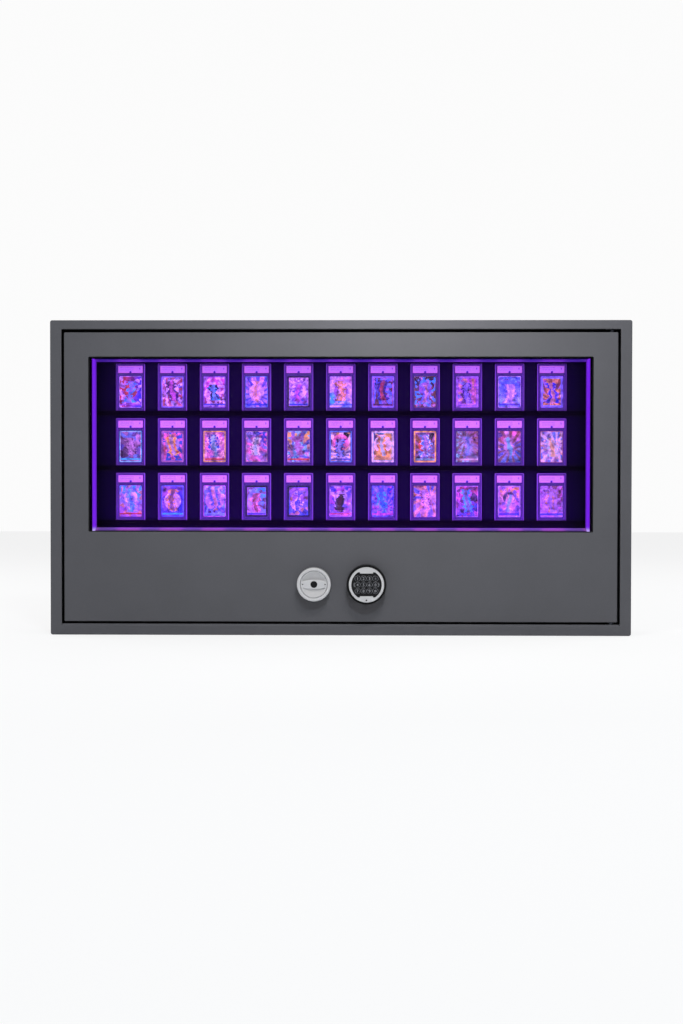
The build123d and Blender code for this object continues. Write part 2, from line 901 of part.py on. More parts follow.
def make_rack_guides():
    """Guides of both racks, clear of their teeth."""
    upper = rack_line_top + rack_root
    lower = rack_line_bottom - rack_root
    guides = [rack_guide(x, upper, upper + rack_height) for x in left_guides]
    guides += [rack_guide(x, lower - rack_height, lower) for x in right_guides]
    return together(guides)


# --- Lock ---
def make_lock_case():
    """Lock body behind the skin, with a slot in its left side for the swing bolt."""
    low = lock_centre_z - lock_height / 2
    high = lock_centre_z + lock_height / 2
    body_depth = skin_back - lock_thickness
    case = raised(panel((lock_left, lock_right, low, high), lock_corner_radius), body_depth, skin_back)
    case = chamfer(front_edges(case, body_depth), lock_edge_chamfer)
    slot_top = swing_pivot_z + swing_half_width + swing_clearance
    slot = panel((lock_left, lock_left + lock_slot_width, slot_top - lock_slot_height, slot_top))
    reach = swing_thickness / 2 + swing_clearance
    case -= raised(slot, boltwork_depth - reach, boltwork_depth + reach)
    pin_reach_total = reach + swing_pin_reach
    depths = (boltwork_depth - pin_reach_total, boltwork_depth + pin_reach_total)
    case -= rod_y(swing_pin_radius + running_fit, swing_pivot_x, swing_pivot_z, *depths)
    plug_radius = cable_radius + running_fit
    return case - rod_x(plug_radius, lock_right - cable_plug_depth, lock_right, boltwork_depth, cable_z)


def make_swing_bolt():
    """Swinging blocking arm of the lock, with its pivot pin."""
    arm = Pos(swing_pivot_x, swing_pivot_z) * Circle(swing_half_width)
    arm += panel((
        swing_pivot_x - swing_half_width,
        swing_pivot_x + swing_half_width,
        swing_pivot_z - swing_length,
        swing_pivot_z,
    ))
    body = raised(arm, boltwork_depth - swing_thickness / 2, boltwork_depth + swing_thickness / 2)
    reach = swing_thickness / 2 + swing_clearance + swing_pin_reach
    depths = (boltwork_depth - reach, boltwork_depth + reach)
    return body + rod_y(swing_pin_radius, swing_pivot_x, swing_pivot_z, *depths)


# --- Handle ---
def make_handle_escutcheon():
    """Fixed ring round the turning handle."""
    ring = Pos(handle_x, handle_z) * (Circle(handle_radius) - Circle(rotor_radius + rotor_gap))
    front = case_depth + handle_ring_depth
    solid = raised(ring, case_depth, front)
    return fillet(front_edges(solid, front), handle_ring_round)


def make_handle_rotor():
    """Turned dish with a lens-shaped grip bar across it, on a socket for the spindle."""
    back = case_depth + rotor_lift
    front = case_depth + handle_ring_depth - rotor_drop
    floor = front - rotor_recess
    dish_radius = rotor_radius - rotor_rim
    waist = (dish_radius * bowl_waist_radius, floor + rotor_recess * bowl_waist_depth)
    rim = (dish_radius, front)
    disc = rod_y(rotor_radius, 0, 0, back, front)
    disc = chamfer(front_edges(disc, front), rotor_edge_chamfer)
    bowl = Polyline((0, floor), (0, front + cut_margin), (dish_radius, front + cut_margin), rim)
    bowl += ThreePointArc(rim, waist, (0, floor))
    cutter = revolve(make_face(bowl), Axis.Y)
    disc -= Rot(180, 0, 0) * cutter
    grip_front = front - grip_drop
    swell = grip_half_height - grip_end_half_height
    side_radius = (dish_radius ** 2 + swell ** 2) / (2 * swell)
    side_shift = side_radius - grip_half_height
    lens = Pos(0, -side_shift) * Circle(side_radius)
    lens &= Pos(0, side_shift) * Circle(side_radius)
    lens &= Circle(rotor_radius - rotor_rim / 2)
    grip = raised(lens, back, grip_front)
    grip = fillet(front_edges(grip, grip_front), grip_round)
    rotor = disc + grip
    cap_floor = grip_front - hub_cap_depth
    rotor -= rod_y(hub_cap_radius + hub_cap_groove, 0, 0, cap_floor, grip_front)
    for x in (-dimple_offset, dimple_offset):
        rotor -= rod_y(dimple_radius, x, 0, grip_front - dimple_depth, grip_front)
    rotor -= rod_y(spindle_radius + running_fit / 2, 0, 0, back, back + spindle_socket)
    return Pos(handle_x, 0, handle_z) * rotor


def make_handle_hub_cap():
    """Round cap in the middle of the grip, over the spindle screw."""
    grip_front = case_depth + handle_ring_depth - rotor_drop - grip_drop
    cap = rod_y(hub_cap_radius, handle_x, handle_z, grip_front - hub_cap_depth, grip_front + rotor_gap)
    return chamfer(front_edges(cap, grip_front + rotor_gap), rotor_gap)


def make_spindle():
    """Shaft from the handle through the skin to the pinion, with a stop washer behind the pinion."""
    front = case_depth + rotor_lift + spindle_socket
    tail = boltwork_depth - pinion_face / 2
    shaft = rod_y(spindle_radius, handle_x, handle_z, tail - bronze_wall, front)
    return shaft + rod_y(spindle_tail, handle_x, handle_z, tail - bronze_wall, tail)


# --- Keypad ---
def key_places():
    """Key centres, row by row from the top left."""
    first_x = keypad_x - key_pitch_x * (key_columns - 1) / 2
    first_z = keypad_z + key_pitch_z * (key_rows - 1) / 2
    return [
        (first_x + key_pitch_x * column, first_z - key_pitch_z * row)
        for row in range(key_rows)
        for column in range(key_columns)
    ]


def inlay_outline(clearance):
    """Black inlay: a round with flat top and bottom that step outwards near their ends."""
    flats = Rectangle(2 * panel_radius, 2 * (panel_half_height - clearance))
    step_left = step_from_centre + clearance
    step_width = panel_radius - step_left
    for side in (-1, 1):
        step = Rectangle(step_width, 2 * (step_half_height - clearance))
        flats += Pos(side * (step_left + step_width / 2), 0) * step
    return Pos(keypad_x, keypad_z) * (Circle(panel_radius - clearance) & flats)


def drawer_bounds(clearance):
    """Space of the battery drawer in the keypad base."""
    return (
        keypad_x - drawer_half_width - clearance,
        keypad_x + drawer_half_width + clearance,
        keypad_z - keypad_base_radius - drawer_front_wall,
        keypad_z + drawer_top + clearance,
    )


def drawer_depths(clearance):
    """Depths that the battery drawer takes up in the keypad base."""
    back = case_depth + 4 * drawer_clearance
    front = back + battery_thickness + battery_clearance + drawer_front_wall
    return back - clearance, front + clearance


def make_keypad_base():
    """Round housing with the key pocket, the drawer's space and the cable hole."""
    base = rod_y(keypad_base_radius, keypad_x, keypad_z, case_depth, base_front)
    base = fillet(front_edges(base, base_front), keypad_base_round)
    pocket_shape = Pos(keypad_x, keypad_z) * Circle(panel_radius + key_flange)
    base -= raised(pocket_shape, base_front - key_pocket_depth, base_front)
    base -= raised(panel(drawer_bounds(drawer_clearance)), *drawer_depths(drawer_clearance))
    hole = cable_radius + cable_hole_clearance
    return base - rod_y(hole, cable_x, cable_z, case_depth, case_depth + cable_plug_depth)


def make_keypad_faceplate():
    """Metal faceplate with an opening for the inlay and a hole for the indicator."""
    front = base_front + faceplate_thickness
    plate = rod_y(faceplate_radius, keypad_x, keypad_z, base_front, front)
    plate = fillet(front_edges(plate, front), faceplate_round)
    plate -= rod_y(indicator_radius, keypad_x, keypad_z - indicator_drop, base_front, front)
    return plate - raised(inlay_outline(0), base_front, front)


def make_keypad_panel():
    """Black inlay with a hole for each key, and the smoked lens of the indicator."""
    face = inlay_outline(panel_fit)
    for x, z in key_places():
        face -= Pos(x, z) * Circle(key_radius + key_gap)
    inlay = raised(face, base_front, base_front + panel_inlay_thickness)
    lens_front = base_front + faceplate_thickness - indicator_sink
    lens_radius = indicator_radius - running_fit
    lens = rod_y(lens_radius, keypad_x, keypad_z - indicator_drop, base_front, lens_front)
    return together([inlay, lens])


def make_key(x, z):
    """Round key with a flange that keeps it behind the inlay."""
    front = base_front + panel_inlay_thickness + key_stand
    flange_front = base_front - seat_clearance
    cap = rod_y(key_radius, x, z, flange_front - key_flange_thickness, front)
    cap = chamfer(front_edges(cap, front), 2 * seat_clearance)
    flange = rod_y(key_radius + key_flange, x, z, flange_front - key_flange_thickness, flange_front)
    return cap + flange


def make_keypad_cable():
    """Lead from the keypad, through the skin and round one bend into the lock."""
    start = (cable_x, -(case_depth + cable_plug_depth), cable_z)
    corner = (cable_x, -boltwork_depth, cable_z)
    end = (lock_right - cable_plug_depth, -boltwork_depth, cable_z)
    short_run = min(abs(start[1] - corner[1]), abs(corner[0] - end[0]))
    bend_radius = 0.45 * short_run
    print(f"keypad cable bend radius {bend_radius:.1f}")
    route = FilletPolyline(start, corner, end, radius=bend_radius)
    section = Plane(origin=start, z_dir=(0, 1, 0)) * Circle(cable_radius)
    return sweep(section, path=route)


def make_battery_drawer():
    """Drawer whose outer end is flush with the round housing, with a pocket for the battery."""
    back, front = drawer_depths(0)
    body = raised(panel(drawer_bounds(0)), back, front)
    body &= rod_y(keypad_base_radius - running_fit, keypad_x, keypad_z, back, front)
    low = keypad_z + battery_bottom - battery_clearance
    high = low + battery_height + 2 * battery_clearance
    half = battery_width / 2 + battery_clearance
    pocket_face = panel((keypad_x - half, keypad_x + half, low, high))
    return body - raised(pocket_face, back, front - drawer_front_wall)


def make_battery():
    """Block battery in the drawer."""
    back, front = drawer_depths(0)
    low = keypad_z + battery_bottom
    half = battery_width / 2
    face = panel((keypad_x - half, keypad_x + half, low, low + battery_height), battery_corner_radius)
    top = front - drawer_front_wall - battery_clearance / 2
    return raised(face, top - battery_thickness, top)


# --- Write every node ---
def make_nodes():
    """All nodes by name."""
    channels, diffusers = light_bars()
    trays, covers, cards, labels = make_holders()
    nodes = {
        "case_wrapper": make_case_wrapper(),
        "front_frame": make_front_frame(),
        "back_plate": make_back_plate(),
        "cable_grommet": make_cable_grommet(),
        "strike_bars": make_strike_bars(),
        "hinge_blocks": make_hinge_blocks(),
        "hinge_pins": make_hinge_pins(),
        "facia_plate": make_facia_plate(),
        "display_surround": make_display_surround(),
        "display_back_panel": make_display_back_panel(),
        "light_channels": channels,
        "light_diffusers": diffusers,
        "power_supply": make_power_supply(),
        "card_shelves": make_card_shelves(),
        "card_holder_trays": trays,
        "card_holder_covers": covers,
        "cards": cards,
        "card_labels": labels,
        "door_skin": make_door_skin(),
        "door_edge_channel": make_door_edge_channel(),
        "glazing_gasket": make_glazing_gasket(),
        "window_glass": make_window_glass(),
        "glass_retainer": make_glass_retainer(),
        "door_seal": make_door_seal(),
        "door_cover": make_door_cover(),
        "door_hinge_sleeves": make_door_hinge_sleeves(),
        "bronze_bushes": make_bronze_bushes(),
        "pinion": make_pinion(),
        "left_rack": make_left_rack(),
        "right_rack": make_right_rack(),
        "left_bolt_bar": make_bolt_bar(-1),
        "right_bolt_bar": make_bolt_bar(1),
        "left_bolts": make_bolts(-1),
        "right_bolts": make_bolts(1),
        "bolt_sleeves": make_bolt_sleeves(),
        "rack_guides": make_rack_guides(),
        "lock_case": make_lock_case(),
        "swing_bolt": make_swing_bolt(),
        "handle_escutcheon": make_handle_escutcheon(),
        "handle_rotor": make_handle_rotor(),
        "handle_hub_cap": make_handle_hub_cap(),
        "spindle": make_spindle(),
        "keypad_base": make_keypad_base(),
        "keypad_faceplate": make_keypad_faceplate(),
        "keypad_panel": make_keypad_panel(),
        "keypad_cable": make_keypad_cable(),
        "battery_drawer": make_battery_drawer(),
        "battery": make_battery(),
    }
    for number, place in enumerate(key_places(), start=1):
        nodes[f"key_{number}"] = make_key(*place)
    return nodes


os.makedirs("parts", exist_ok=True)
for name, shape in make_nodes().items():
    export_step(shape, f"parts/{name}.step")
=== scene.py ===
import math

import bmesh
import bpy
from mathutils import Matrix, Vector


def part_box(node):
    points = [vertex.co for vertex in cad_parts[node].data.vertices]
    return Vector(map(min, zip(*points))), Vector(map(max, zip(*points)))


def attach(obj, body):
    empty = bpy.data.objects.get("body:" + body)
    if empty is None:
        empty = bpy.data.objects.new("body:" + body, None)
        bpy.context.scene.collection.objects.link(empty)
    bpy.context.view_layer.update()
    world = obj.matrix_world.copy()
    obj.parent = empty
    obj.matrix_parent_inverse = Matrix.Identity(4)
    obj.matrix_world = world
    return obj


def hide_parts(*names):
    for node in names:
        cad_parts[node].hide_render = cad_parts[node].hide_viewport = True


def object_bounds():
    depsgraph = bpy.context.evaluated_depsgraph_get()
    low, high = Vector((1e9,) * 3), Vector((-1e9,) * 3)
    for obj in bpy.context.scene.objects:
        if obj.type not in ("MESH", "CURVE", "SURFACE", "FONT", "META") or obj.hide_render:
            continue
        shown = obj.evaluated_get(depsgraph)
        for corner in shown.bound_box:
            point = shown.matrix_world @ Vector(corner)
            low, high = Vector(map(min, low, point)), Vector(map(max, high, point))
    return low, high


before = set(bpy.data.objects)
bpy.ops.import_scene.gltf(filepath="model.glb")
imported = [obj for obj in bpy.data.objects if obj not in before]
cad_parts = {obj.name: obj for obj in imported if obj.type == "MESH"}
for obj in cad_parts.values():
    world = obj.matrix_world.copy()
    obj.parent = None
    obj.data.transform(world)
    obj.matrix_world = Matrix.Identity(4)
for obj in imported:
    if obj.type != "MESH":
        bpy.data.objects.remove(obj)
cad_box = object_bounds()

# --- Camera ---
# The case is seen square on, from a little right of its middle and 3.6 m in front of it. The
# lens is a normal one for a sensor 36 mm wide.
eye = (0.0499, -3.750, -0.0361)
eye_turn = (math.radians(89.067), math.radians(-0.071), math.radians(0.736))
eye_focal_length = 45.43

camera_data = bpy.data.cameras.new("camera")
camera_data.sensor_width = 36.0
camera_data.lens = eye_focal_length
camera = bpy.data.objects.new("camera", camera_data)
camera.location = eye
camera.rotation_euler = eye_turn
bpy.context.scene.collection.objects.link(camera)
bpy.context.scene.camera = camera
bpy.context.scene.view_settings.view_transform = "Standard"

# --- Studio: floor, surroundings and lamps ---
# A pale floor just under the case, even surroundings, one soft lamp above the middle of the
# case, another high in front and one on each side behind.
floor_colour = (0.80, 0.80, 0.80, 1.0)
white = (1.0, 1.0, 1.0, 1.0)
ambient_colour = (0.398, 0.396, 0.420, 1.0)
background_colour = (0.97, 0.97, 0.97, 1.0)
floor_reach = 9.0
floor_whiteness = 0.80
floor_roughness = 0.7
floor_gap = 0.0008


class Wire:
    """An output of a node, reckoned with like a number. Brackets give the node's other outputs."""

    def __init__(self, socket):
        self.socket = socket
        self.tree = socket.id_data

    def __getitem__(self, name):
        return Wire(self.socket.node.outputs[name])

    def __add__(self, other):
        return maths("ADD", self, other)

    def __sub__(self, other):
        return maths("SUBTRACT", self, other)

    def __rsub__(self, other):
        return maths("SUBTRACT", other, self)

    def __mul__(self, other):
        return maths("MULTIPLY", self, other)

    def __truediv__(self, other):
        return maths("DIVIDE", self, other)

    def __gt__(self, other):
        return maths("GREATER_THAN", self, other)

    def __lt__(self, other):
        return maths("LESS_THAN", self, other)

    def __abs__(self):
        return maths("ABSOLUTE", self)


def tree_of(*values):
    """Node tree of the first wire among these values."""
    return next(value.tree for value in values if isinstance(value, Wire))


def join(value, socket):
    """Links a wire to an input, or sets the input to a plain value."""
    if isinstance(value, Wire):
        value.tree.links.new(value.socket, socket)
    else:
        socket.default_value = value


def add_node(tree, kind, inputs=None, **settings):
    """First output of a new node, whose inputs are set or linked."""
    made = tree.nodes.new(kind)
    for name, value in settings.items():
        setattr(made, name, value)
    for name, value in (inputs or {}).items():
        join(value, made.inputs[name])
    return Wire(made.outputs[0])


def maths(operation, *values):
    """Result of one Math node on numbers and wires."""
    return add_node(tree_of(*values), "ShaderNodeMath", dict(enumerate(values)), operation=operation)


def mixed(factor, first, second, blend="MIX"):
    """Colour between two colours."""
    made = tree_of(factor, first, second).nodes.new("ShaderNodeMix")
    made.data_type = "RGBA"
    made.blend_type = blend
    inputs = {socket.identifier: socket for socket in made.inputs}
    join(factor, inputs["Factor_Float"])
    join(first, inputs["A_Color"])
    join(second, inputs["B_Color"])
    return Wire(next(socket for socket in made.outputs if socket.identifier == "Result_Color"))


def show(tree, shader, place="Material"):
    """Puts a shader on the surface of a material or of the surroundings."""
    join(shader, tree.nodes.new("ShaderNodeOutput" + place).inputs["Surface"])


def new_material(name):
    """Empty material and its tree."""
    material = bpy.data.materials.new(name)
    material.use_nodes = True
    material.node_tree.nodes.clear()
    return material, material.node_tree


def link_object(name, mesh, *materials):
    """New object from a mesh, with its materials in order."""
    made = bpy.data.objects.new(name, mesh)
    for material in materials:
        mesh.materials.append(material)
    bpy.context.scene.collection.objects.link(made)
    return made


world = bpy.data.worlds.new("surroundings")
bpy.context.scene.world = world
world.use_nodes = True
sky = world.node_tree
sky.nodes.clear()
ray = add_node(sky, "ShaderNodeLightPath")
seen = maths("MAXIMUM", ray["Is Camera Ray"], ray["Is Glossy Ray"])
seen = maths("MAXIMUM", seen, ray["Is Transmission Ray"])
before_bounce = ray["Diffuse Depth"] < 0.5
sky_colour = mixed(seen * before_bounce, ambient_colour, background_colour)
show(sky, add_node(sky, "ShaderNodeBackground", {"Color": sky_colour, "Strength": 1.0}), "World")

floor_level = cad_box[0][2] - floor_gap
floor_mesh = bpy.data.meshes.new("floor")
corners = ((-1, -1), (1, -1), (1, 1), (-1, 1))
floor_mesh.from_pydata(
    [(x * floor_reach, y * floor_reach, floor_level) for x, y in corners], [], [(0, 1, 2, 3)]
)
floor_paint, tree = new_material("floor_paint")
matt = add_node(tree, "ShaderNodeBsdfPrincipled", {"Base Color": floor_colour, "Roughness": floor_roughness})
glowing = add_node(tree, "ShaderNodeEmission", {"Color": white, "Strength": 1.0})
share = add_node(tree, "ShaderNodeLightPath")["Is Camera Ray"] * floor_whiteness
show(tree, add_node(tree, "ShaderNodeMixShader", {0: share, 1: matt, 2: glowing}))
link_object("floor", floor_mesh, floor_paint)


def add_lamp(name, place, target, width, height, watts, colour):
    """Soft rectangular lamp aimed at a point, itself never seen."""
    data = bpy.data.lights.new(name, "AREA")
    data.shape = "RECTANGLE"
    data.size = width
    data.size_y = height
    data.energy = watts
    data.color = colour
    lamp = bpy.data.objects.new(name, data)
    lamp.location = place
    aim = Vector(target) - Vector(place)
    lamp.rotation_euler = aim.to_track_quat("-Z", "Y").to_euler()
    lamp.visible_camera = False
    lamp.visible_glossy = False
    lamp.visible_transmission = False
    bpy.context.scene.collection.objects.link(lamp)


add_lamp("ceiling_lamp", (0.20, -0.78, 0.76), (0.08, -0.1, 0.36), 0.30, 0.25, 8.8, (1.0, 0.99, 0.97))
add_lamp("front_lamp", (0.4, -3.1, 2.7), (0, 0, -0.15), 0.45, 0.4, 68, (0.84, 0.94, 1.0))
add_lamp("left_side_lamp", (-3.2, 1.2, 2.0), (0, 0, 0), 2.0, 2.0, 60, (1.0, 1.0, 1.0))
add_lamp("right_side_lamp", (3.2, 1.2, 2.0), (0, 0, 0), 2.0, 2.0, 60, (1.0, 1.0, 1.0))

# --- Case shell ---
# Welded and folded 6 mm steel, powder coated dark grey: side walls, the flat frame round the
# door, the back plate, the strike bars that the bolts lock behind and the pivot blocks.
coat_colour = (0.083, 0.082, 0.090, 1.0)
coat_grain = 900.0
coat_roughness = 0.48
# Lighter colour on the edges: rubbed bare metal and a painted edge highlight together.
worn_and_lit_edge_colour = (0.20, 0.20, 0.21, 1.0)
cloud_scale = 7.0
edge_lightening_reach = 0.0012
edge_lightening_amount = 0.8
edge_patch_scale = 60.0
coat_relief_depth = 0.0003
skin_outputs = (("Colour", "Color"), ("Roughness", "Float"), ("Height", "Float"))


def new_group(name, inputs, outputs=skin_outputs):
    """Shader node group with named sockets: the group, its inputs and its output node."""
    group = bpy.data.node_groups.new(name, "ShaderNodeTree")
    for label, kind, value in inputs:
        socket = group.interface.new_socket(label, in_out="INPUT", socket_type="NodeSocket" + kind)
        socket.default_value = value
    for label, kind in outputs:
        group.interface.new_socket(label, in_out="OUTPUT", socket_type="NodeSocket" + kind)
    given = {socket.name: Wire(socket) for socket in group.nodes.new("NodeGroupInput").outputs}
    return group, given, group.nodes.new("NodeGroupOutput")


def hand_out(gives, **results):
    """Joins a group's results to its outputs of the same names."""
    for name, value in results.items():
        join(value, gives.inputs[name.capitalize()])


def use_group(tree, group, **values):
    """First output of a group placed in a material, with its inputs set by name."""
    placed = tree.nodes.new("ShaderNodeGroup")
    placed.node_tree = group
    for name, value in values.items():
        join(value, placed.inputs[name.capitalize()])
    return Wire(placed.outputs[0])


def object_place(tree):
    """Place on the piece, in metres."""
    return add_node(tree, "ShaderNodeTexCoord")["Object"]


def noise(place, scale, detail=2.0, distortion=0.0):
    """Soft noise from 0 to 1 over a place."""
    inputs = {"Vector": place, "Scale": scale, "Detail": detail, "Distortion": distortion}
    return add_node(place.tree, "ShaderNodeTexNoise", inputs)


def vector_maths(operation, *values):
    """Result of one Vector Math node."""
    return add_node(tree_of(*values), "ShaderNodeVectorMath", dict(enumerate(values)), operation=operation)


def scaled(vector, factor):
    """Colour or vector times a number."""
    inputs = {0: vector, "Scale": factor}
    return add_node(tree_of(vector, factor), "ShaderNodeVectorMath", inputs, operation="SCALE")


def bumped(height, strength, depth):
    """Normal that follows a height."""
    inputs = {"Height": height, "Strength": strength, "Distance": depth}
    return add_node(height.tree, "ShaderNodeBump", inputs)


def surface(tree, **inputs):
    """Puts a Principled BSDF on a material, with its inputs set or linked."""
    named = {name.replace("_", " ").title().replace("Ior", "IOR"): value for name, value in inputs.items()}
    show(tree, add_node(tree, "ShaderNodeBsdfPrincipled", named))


def skinned(tree, skin, relief, depth, **inputs):
    """Puts on a surface whose colour, roughness and relief come from a placed group."""
    surface(tree, **{"base_color": skin["Colour"], "roughness": skin["Roughness"],
                     "normal": bumped(skin["Height"], relief, depth), **inputs})


powder, given, gives = new_group("powder_grain", [
    ("Colour", "Color", coat_colour), ("Grain", "Float", coat_grain), ("Roughness", "Float", 0.5),
    ("Spread", "Float", 0.08)])
position = object_place(powder)
beads = noise(position, given["Grain"])
cloudy = noise(position, cloud_scale, 4.0) - 0.5
specky = noise(position, given["Grain"] * 0.3) - 0.5
tone = (cloudy * 2.0 + specky) * given["Spread"] + 1.0
hand_out(gives, colour=scaled(given["Colour"], tone), height=beads,
         roughness=cloudy * 0.12 + given["Roughness"])

# Mask of the sharp edges, in patches: it marks both rubbed wear and a painted highlight along the lit edges.
edge_lightening, given, gives = new_group(
    "edge_wear_and_highlight", [("Reach", "Float", edge_lightening_reach), ("Amount", "Float", 1.0)], [("Mask", "Float")])
rounded = add_node(edge_lightening, "ShaderNodeBevel", {"Radius": given["Reach"]}, samples=4)
flat = add_node(edge_lightening, "ShaderNodeNewGeometry")["Normal"]
sharpness = 1.0 - vector_maths("DOT_PRODUCT", rounded, flat)["Value"]
patchy = noise(object_place(edge_lightening), edge_patch_scale, 6.0) * 8.0 - 2.6
edge_lightened = sharpness * patchy * given["Amount"]
hand_out(gives, mask=add_node(edge_lightening, "ShaderNodeClamp", {"Value": edge_lightened}))


def powder_coated(name, colour, lit_worn_edge_colour, grain, roughness, spread, relief, gloss):
    """Powder-coated metal whose edges are a little lighter: partly rubbed wear, partly a painted highlight
    where the edges catch the light.
    """
    material, tree = new_material(name)
    coat = use_group(tree, powder, colour=colour, grain=grain, roughness=roughness, spread=spread)
    edge_lightening_mask = use_group(tree, edge_lightening, reach=edge_lightening_reach, amount=edge_lightening_amount)
    skinned(tree, coat, relief, coat_relief_depth, base_color=mixed(edge_lightening_mask, coat, lit_worn_edge_colour),
            specular_ior_level=gloss)
    return material


def finish_nodes(material, *names):
    """Gives carried CAD nodes their material."""
    for name in names:
        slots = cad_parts[name].material_slots
        for slot in slots:
            slot.material = material
        if not slots:
            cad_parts[name].data.materials.append(material)


case_paint = powder_coated(
    "case_paint", coat_colour, worn_and_lit_edge_colour,
    grain=coat_grain, roughness=coat_roughness, spread=0.10, relief=0.35, gloss=0.25)
finish_nodes(case_paint, "case_wrapper", "front_frame", "back_plate", "strike_bars", "hinge_blocks")

# --- Cable grommet ---
# Moulded black rubber ring that guards the power lead where it enters the back plate. It is
# pushed in and its groove grips the edge of the hole.
rubber_colour = (0.012, 0.012, 0.013, 1.0)
haze_scale = 35.0
moulded_relief_depth = 0.0002
moulded_gloss = 0.12

moulded, given, gives = new_group("moulded_grain", [
    ("Colour", "Color", rubber_colour), ("Grain", "Float", 700.0), ("Roughness", "Float", 0.6),
    ("Bloom", "Float", 0.3)])
position = object_place(moulded)
pits = add_node(moulded, "ShaderNodeTexVoronoi", {"Vector": position, "Scale": given["Grain"]},
                feature="SMOOTH_F1")
hazy = noise(position, haze_scale, 5.0) - 0.5
lift = hazy * given["Bloom"] * 2.0 + 1.0
hand_out(gives, colour=scaled(given["Colour"], lift), height=pits["Distance"],
         roughness=hazy * 0.25 + given["Roughness"])


def moulded_material(name, colour, grain, roughness, bloom, relief):
    """Moulded rubber or plastic with a fine pitted grain."""
    material, tree = new_material(name)
    skin = use_group(tree, moulded, colour=colour, grain=grain, roughness=roughness, bloom=bloom)
    skinned(tree, skin, relief, moulded_relief_depth, specular_ior_level=moulded_gloss)
    return material


rubber = moulded_material("rubber", rubber_colour, grain=900.0, roughness=0.62, bloom=0.5, relief=0.25)
finish_nodes(rubber, "cable_grommet")

# --- Pivot pins ---
# Ground and blued steel pins pressed into the pivot blocks; the lower one carries the door on
# a collar.
steel_colour = (0.42, 0.425, 0.44, 1.0)
blued_colour = (0.030, 0.032, 0.040, 1.0)
film_scale = 22.0
tool_mark_depth = 0.0001

marks, given, gives = new_group("machined_marks", [
    ("Colour", "Color", steel_colour), ("Stretch", "Vector", (40.0, 900.0, 900.0)),
    ("Roughness", "Float", 0.3), ("Stain", "Float", 0.25)])
position = object_place(marks)
lines = noise(vector_maths("MULTIPLY", position, given["Stretch"]), 1.0, 4.0)
liney = lines - 0.5
filmy = noise(position, film_scale, 5.0) - 0.5
shade = (filmy + liney) * given["Stain"] + 1.0
hand_out(gives, colour=scaled(given["Colour"], shade), height=lines,
         roughness=liney * 0.3 + filmy * 0.15 + given["Roughness"])


def machined(name, colour, stretch, roughness, stain, relief):
    """Bare metal with fine tool marks along one direction."""
    material, tree = new_material(name)
    cut = use_group(tree, marks, colour=colour, stretch=stretch, roughness=roughness, stain=stain)
    skinned(tree, cut, relief, tool_mark_depth, metallic=1.0)
    return material


pin_steel = machined(
    "pin_steel", blued_colour, (900.0, 900.0, 40.0), roughness=0.34, stain=0.3, relief=0.2)
finish_nodes(pin_steel, "hinge_pins")

# --- Facia plate ---
# Black powder-coated 3 mm sheet that fills the case round the lit space. It is held by a row
# of button-head screws near its outer edge.
black_colour = (0.0075, 0.0075, 0.0085, 1.0)
# Lighter colour on the black edges: rubbed wear and a painted edge highlight together.
black_worn_and_lit_edge = (0.03, 0.03, 0.032, 1.0)
black_steel_colour = (0.035, 0.035, 0.038, 1.0)
facia_low, facia_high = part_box("facia_plate")
facia_screw_inset = 0.034
facia_screw_pitch = 0.19
screw_steps = 12
screw_head_radius = 0.0042
screw_head_height = 0.0023
screw_socket_radius = 0.0016
screw_socket_floor = screw_head_height * 0.35

inner_black = powder_coated(
    "inner_black", black_colour, black_worn_and_lit_edge,
    grain=1100.0, roughness=0.5, spread=0.15, relief=0.3, gloss=0.12)
finish_nodes(inner_black, "facia_plate")
black_steel = machined(
    "black_steel", black_steel_colour, (700.0, 700.0, 700.0), roughness=0.36, stain=0.3, relief=0.2)


def walls(made, rings):
    """Faces between rings of points, one after another. A ring may be a single point."""
    for first, second in zip(rings, rings[1:]):
        count = max(len(first), len(second))
        for step in range(count):
            after = (step + 1) % count
            corners = (first[step % len(first)], first[after % len(first)],
                       second[after % len(second)], second[step % len(second)])
            made.faces.new(list(dict.fromkeys(corners)))


def finished_mesh(name, made):
    """Mesh from a bmesh, with its faces turned outwards."""
    bmesh.ops.recalc_face_normals(made, faces=made.faces)
    mesh = bpy.data.meshes.new(name)
    made.to_mesh(mesh)
    made.free()
    return mesh


def screw_mesh(name):
    """Button-head screw with a hexagon socket. Its seat is at the origin and it faces -Y."""
    made = bmesh.new()
    levels = (
        (0.0, screw_socket_floor, False), (screw_socket_radius, screw_socket_floor, True),
        (screw_socket_radius, screw_head_height, True),
        (screw_head_radius * 0.62, screw_head_height * 0.93, False),
        (screw_head_radius * 0.9, screw_head_height * 0.55, False),
        (screw_head_radius, screw_head_height * 0.12, False), (screw_head_radius, 0.0, False),
        (0.0, 0.0, False),
    )
    rings = []
    for radius, out, hexagon in levels:
        ring = []
        for step in range(screw_steps if radius else 1):
            angle = 2 * math.pi * step / screw_steps
            reach = radius * (math.cos(math.pi / 6) if hexagon and step % 2 else 1.0)
            ring.append(made.verts.new((reach * math.cos(angle), -out, reach * math.sin(angle))))
        rings.append(ring)
    walls(made, rings)
    return finished_mesh(name, made)


def new_tree(name, inputs):
    """Geometry Nodes tree for a mesh and its finish: the tree, its inputs and its output node."""
    tree = bpy.data.node_groups.new(name, "GeometryNodeTree")
    for label, kind, value in [("Geometry", "Geometry", None), *inputs, ("Finish", "Material", None)]:
        socket = tree.interface.new_socket(label, in_out="INPUT", socket_type="NodeSocket" + kind)
        if value is not None:
            socket.default_value = value
    tree.interface.new_socket("Geometry", in_out="OUTPUT", socket_type="NodeSocketGeometry")
    given = {socket.name: Wire(socket) for socket in tree.nodes.new("NodeGroupInput").outputs}
    return tree, given, tree.nodes.new("NodeGroupOutput")


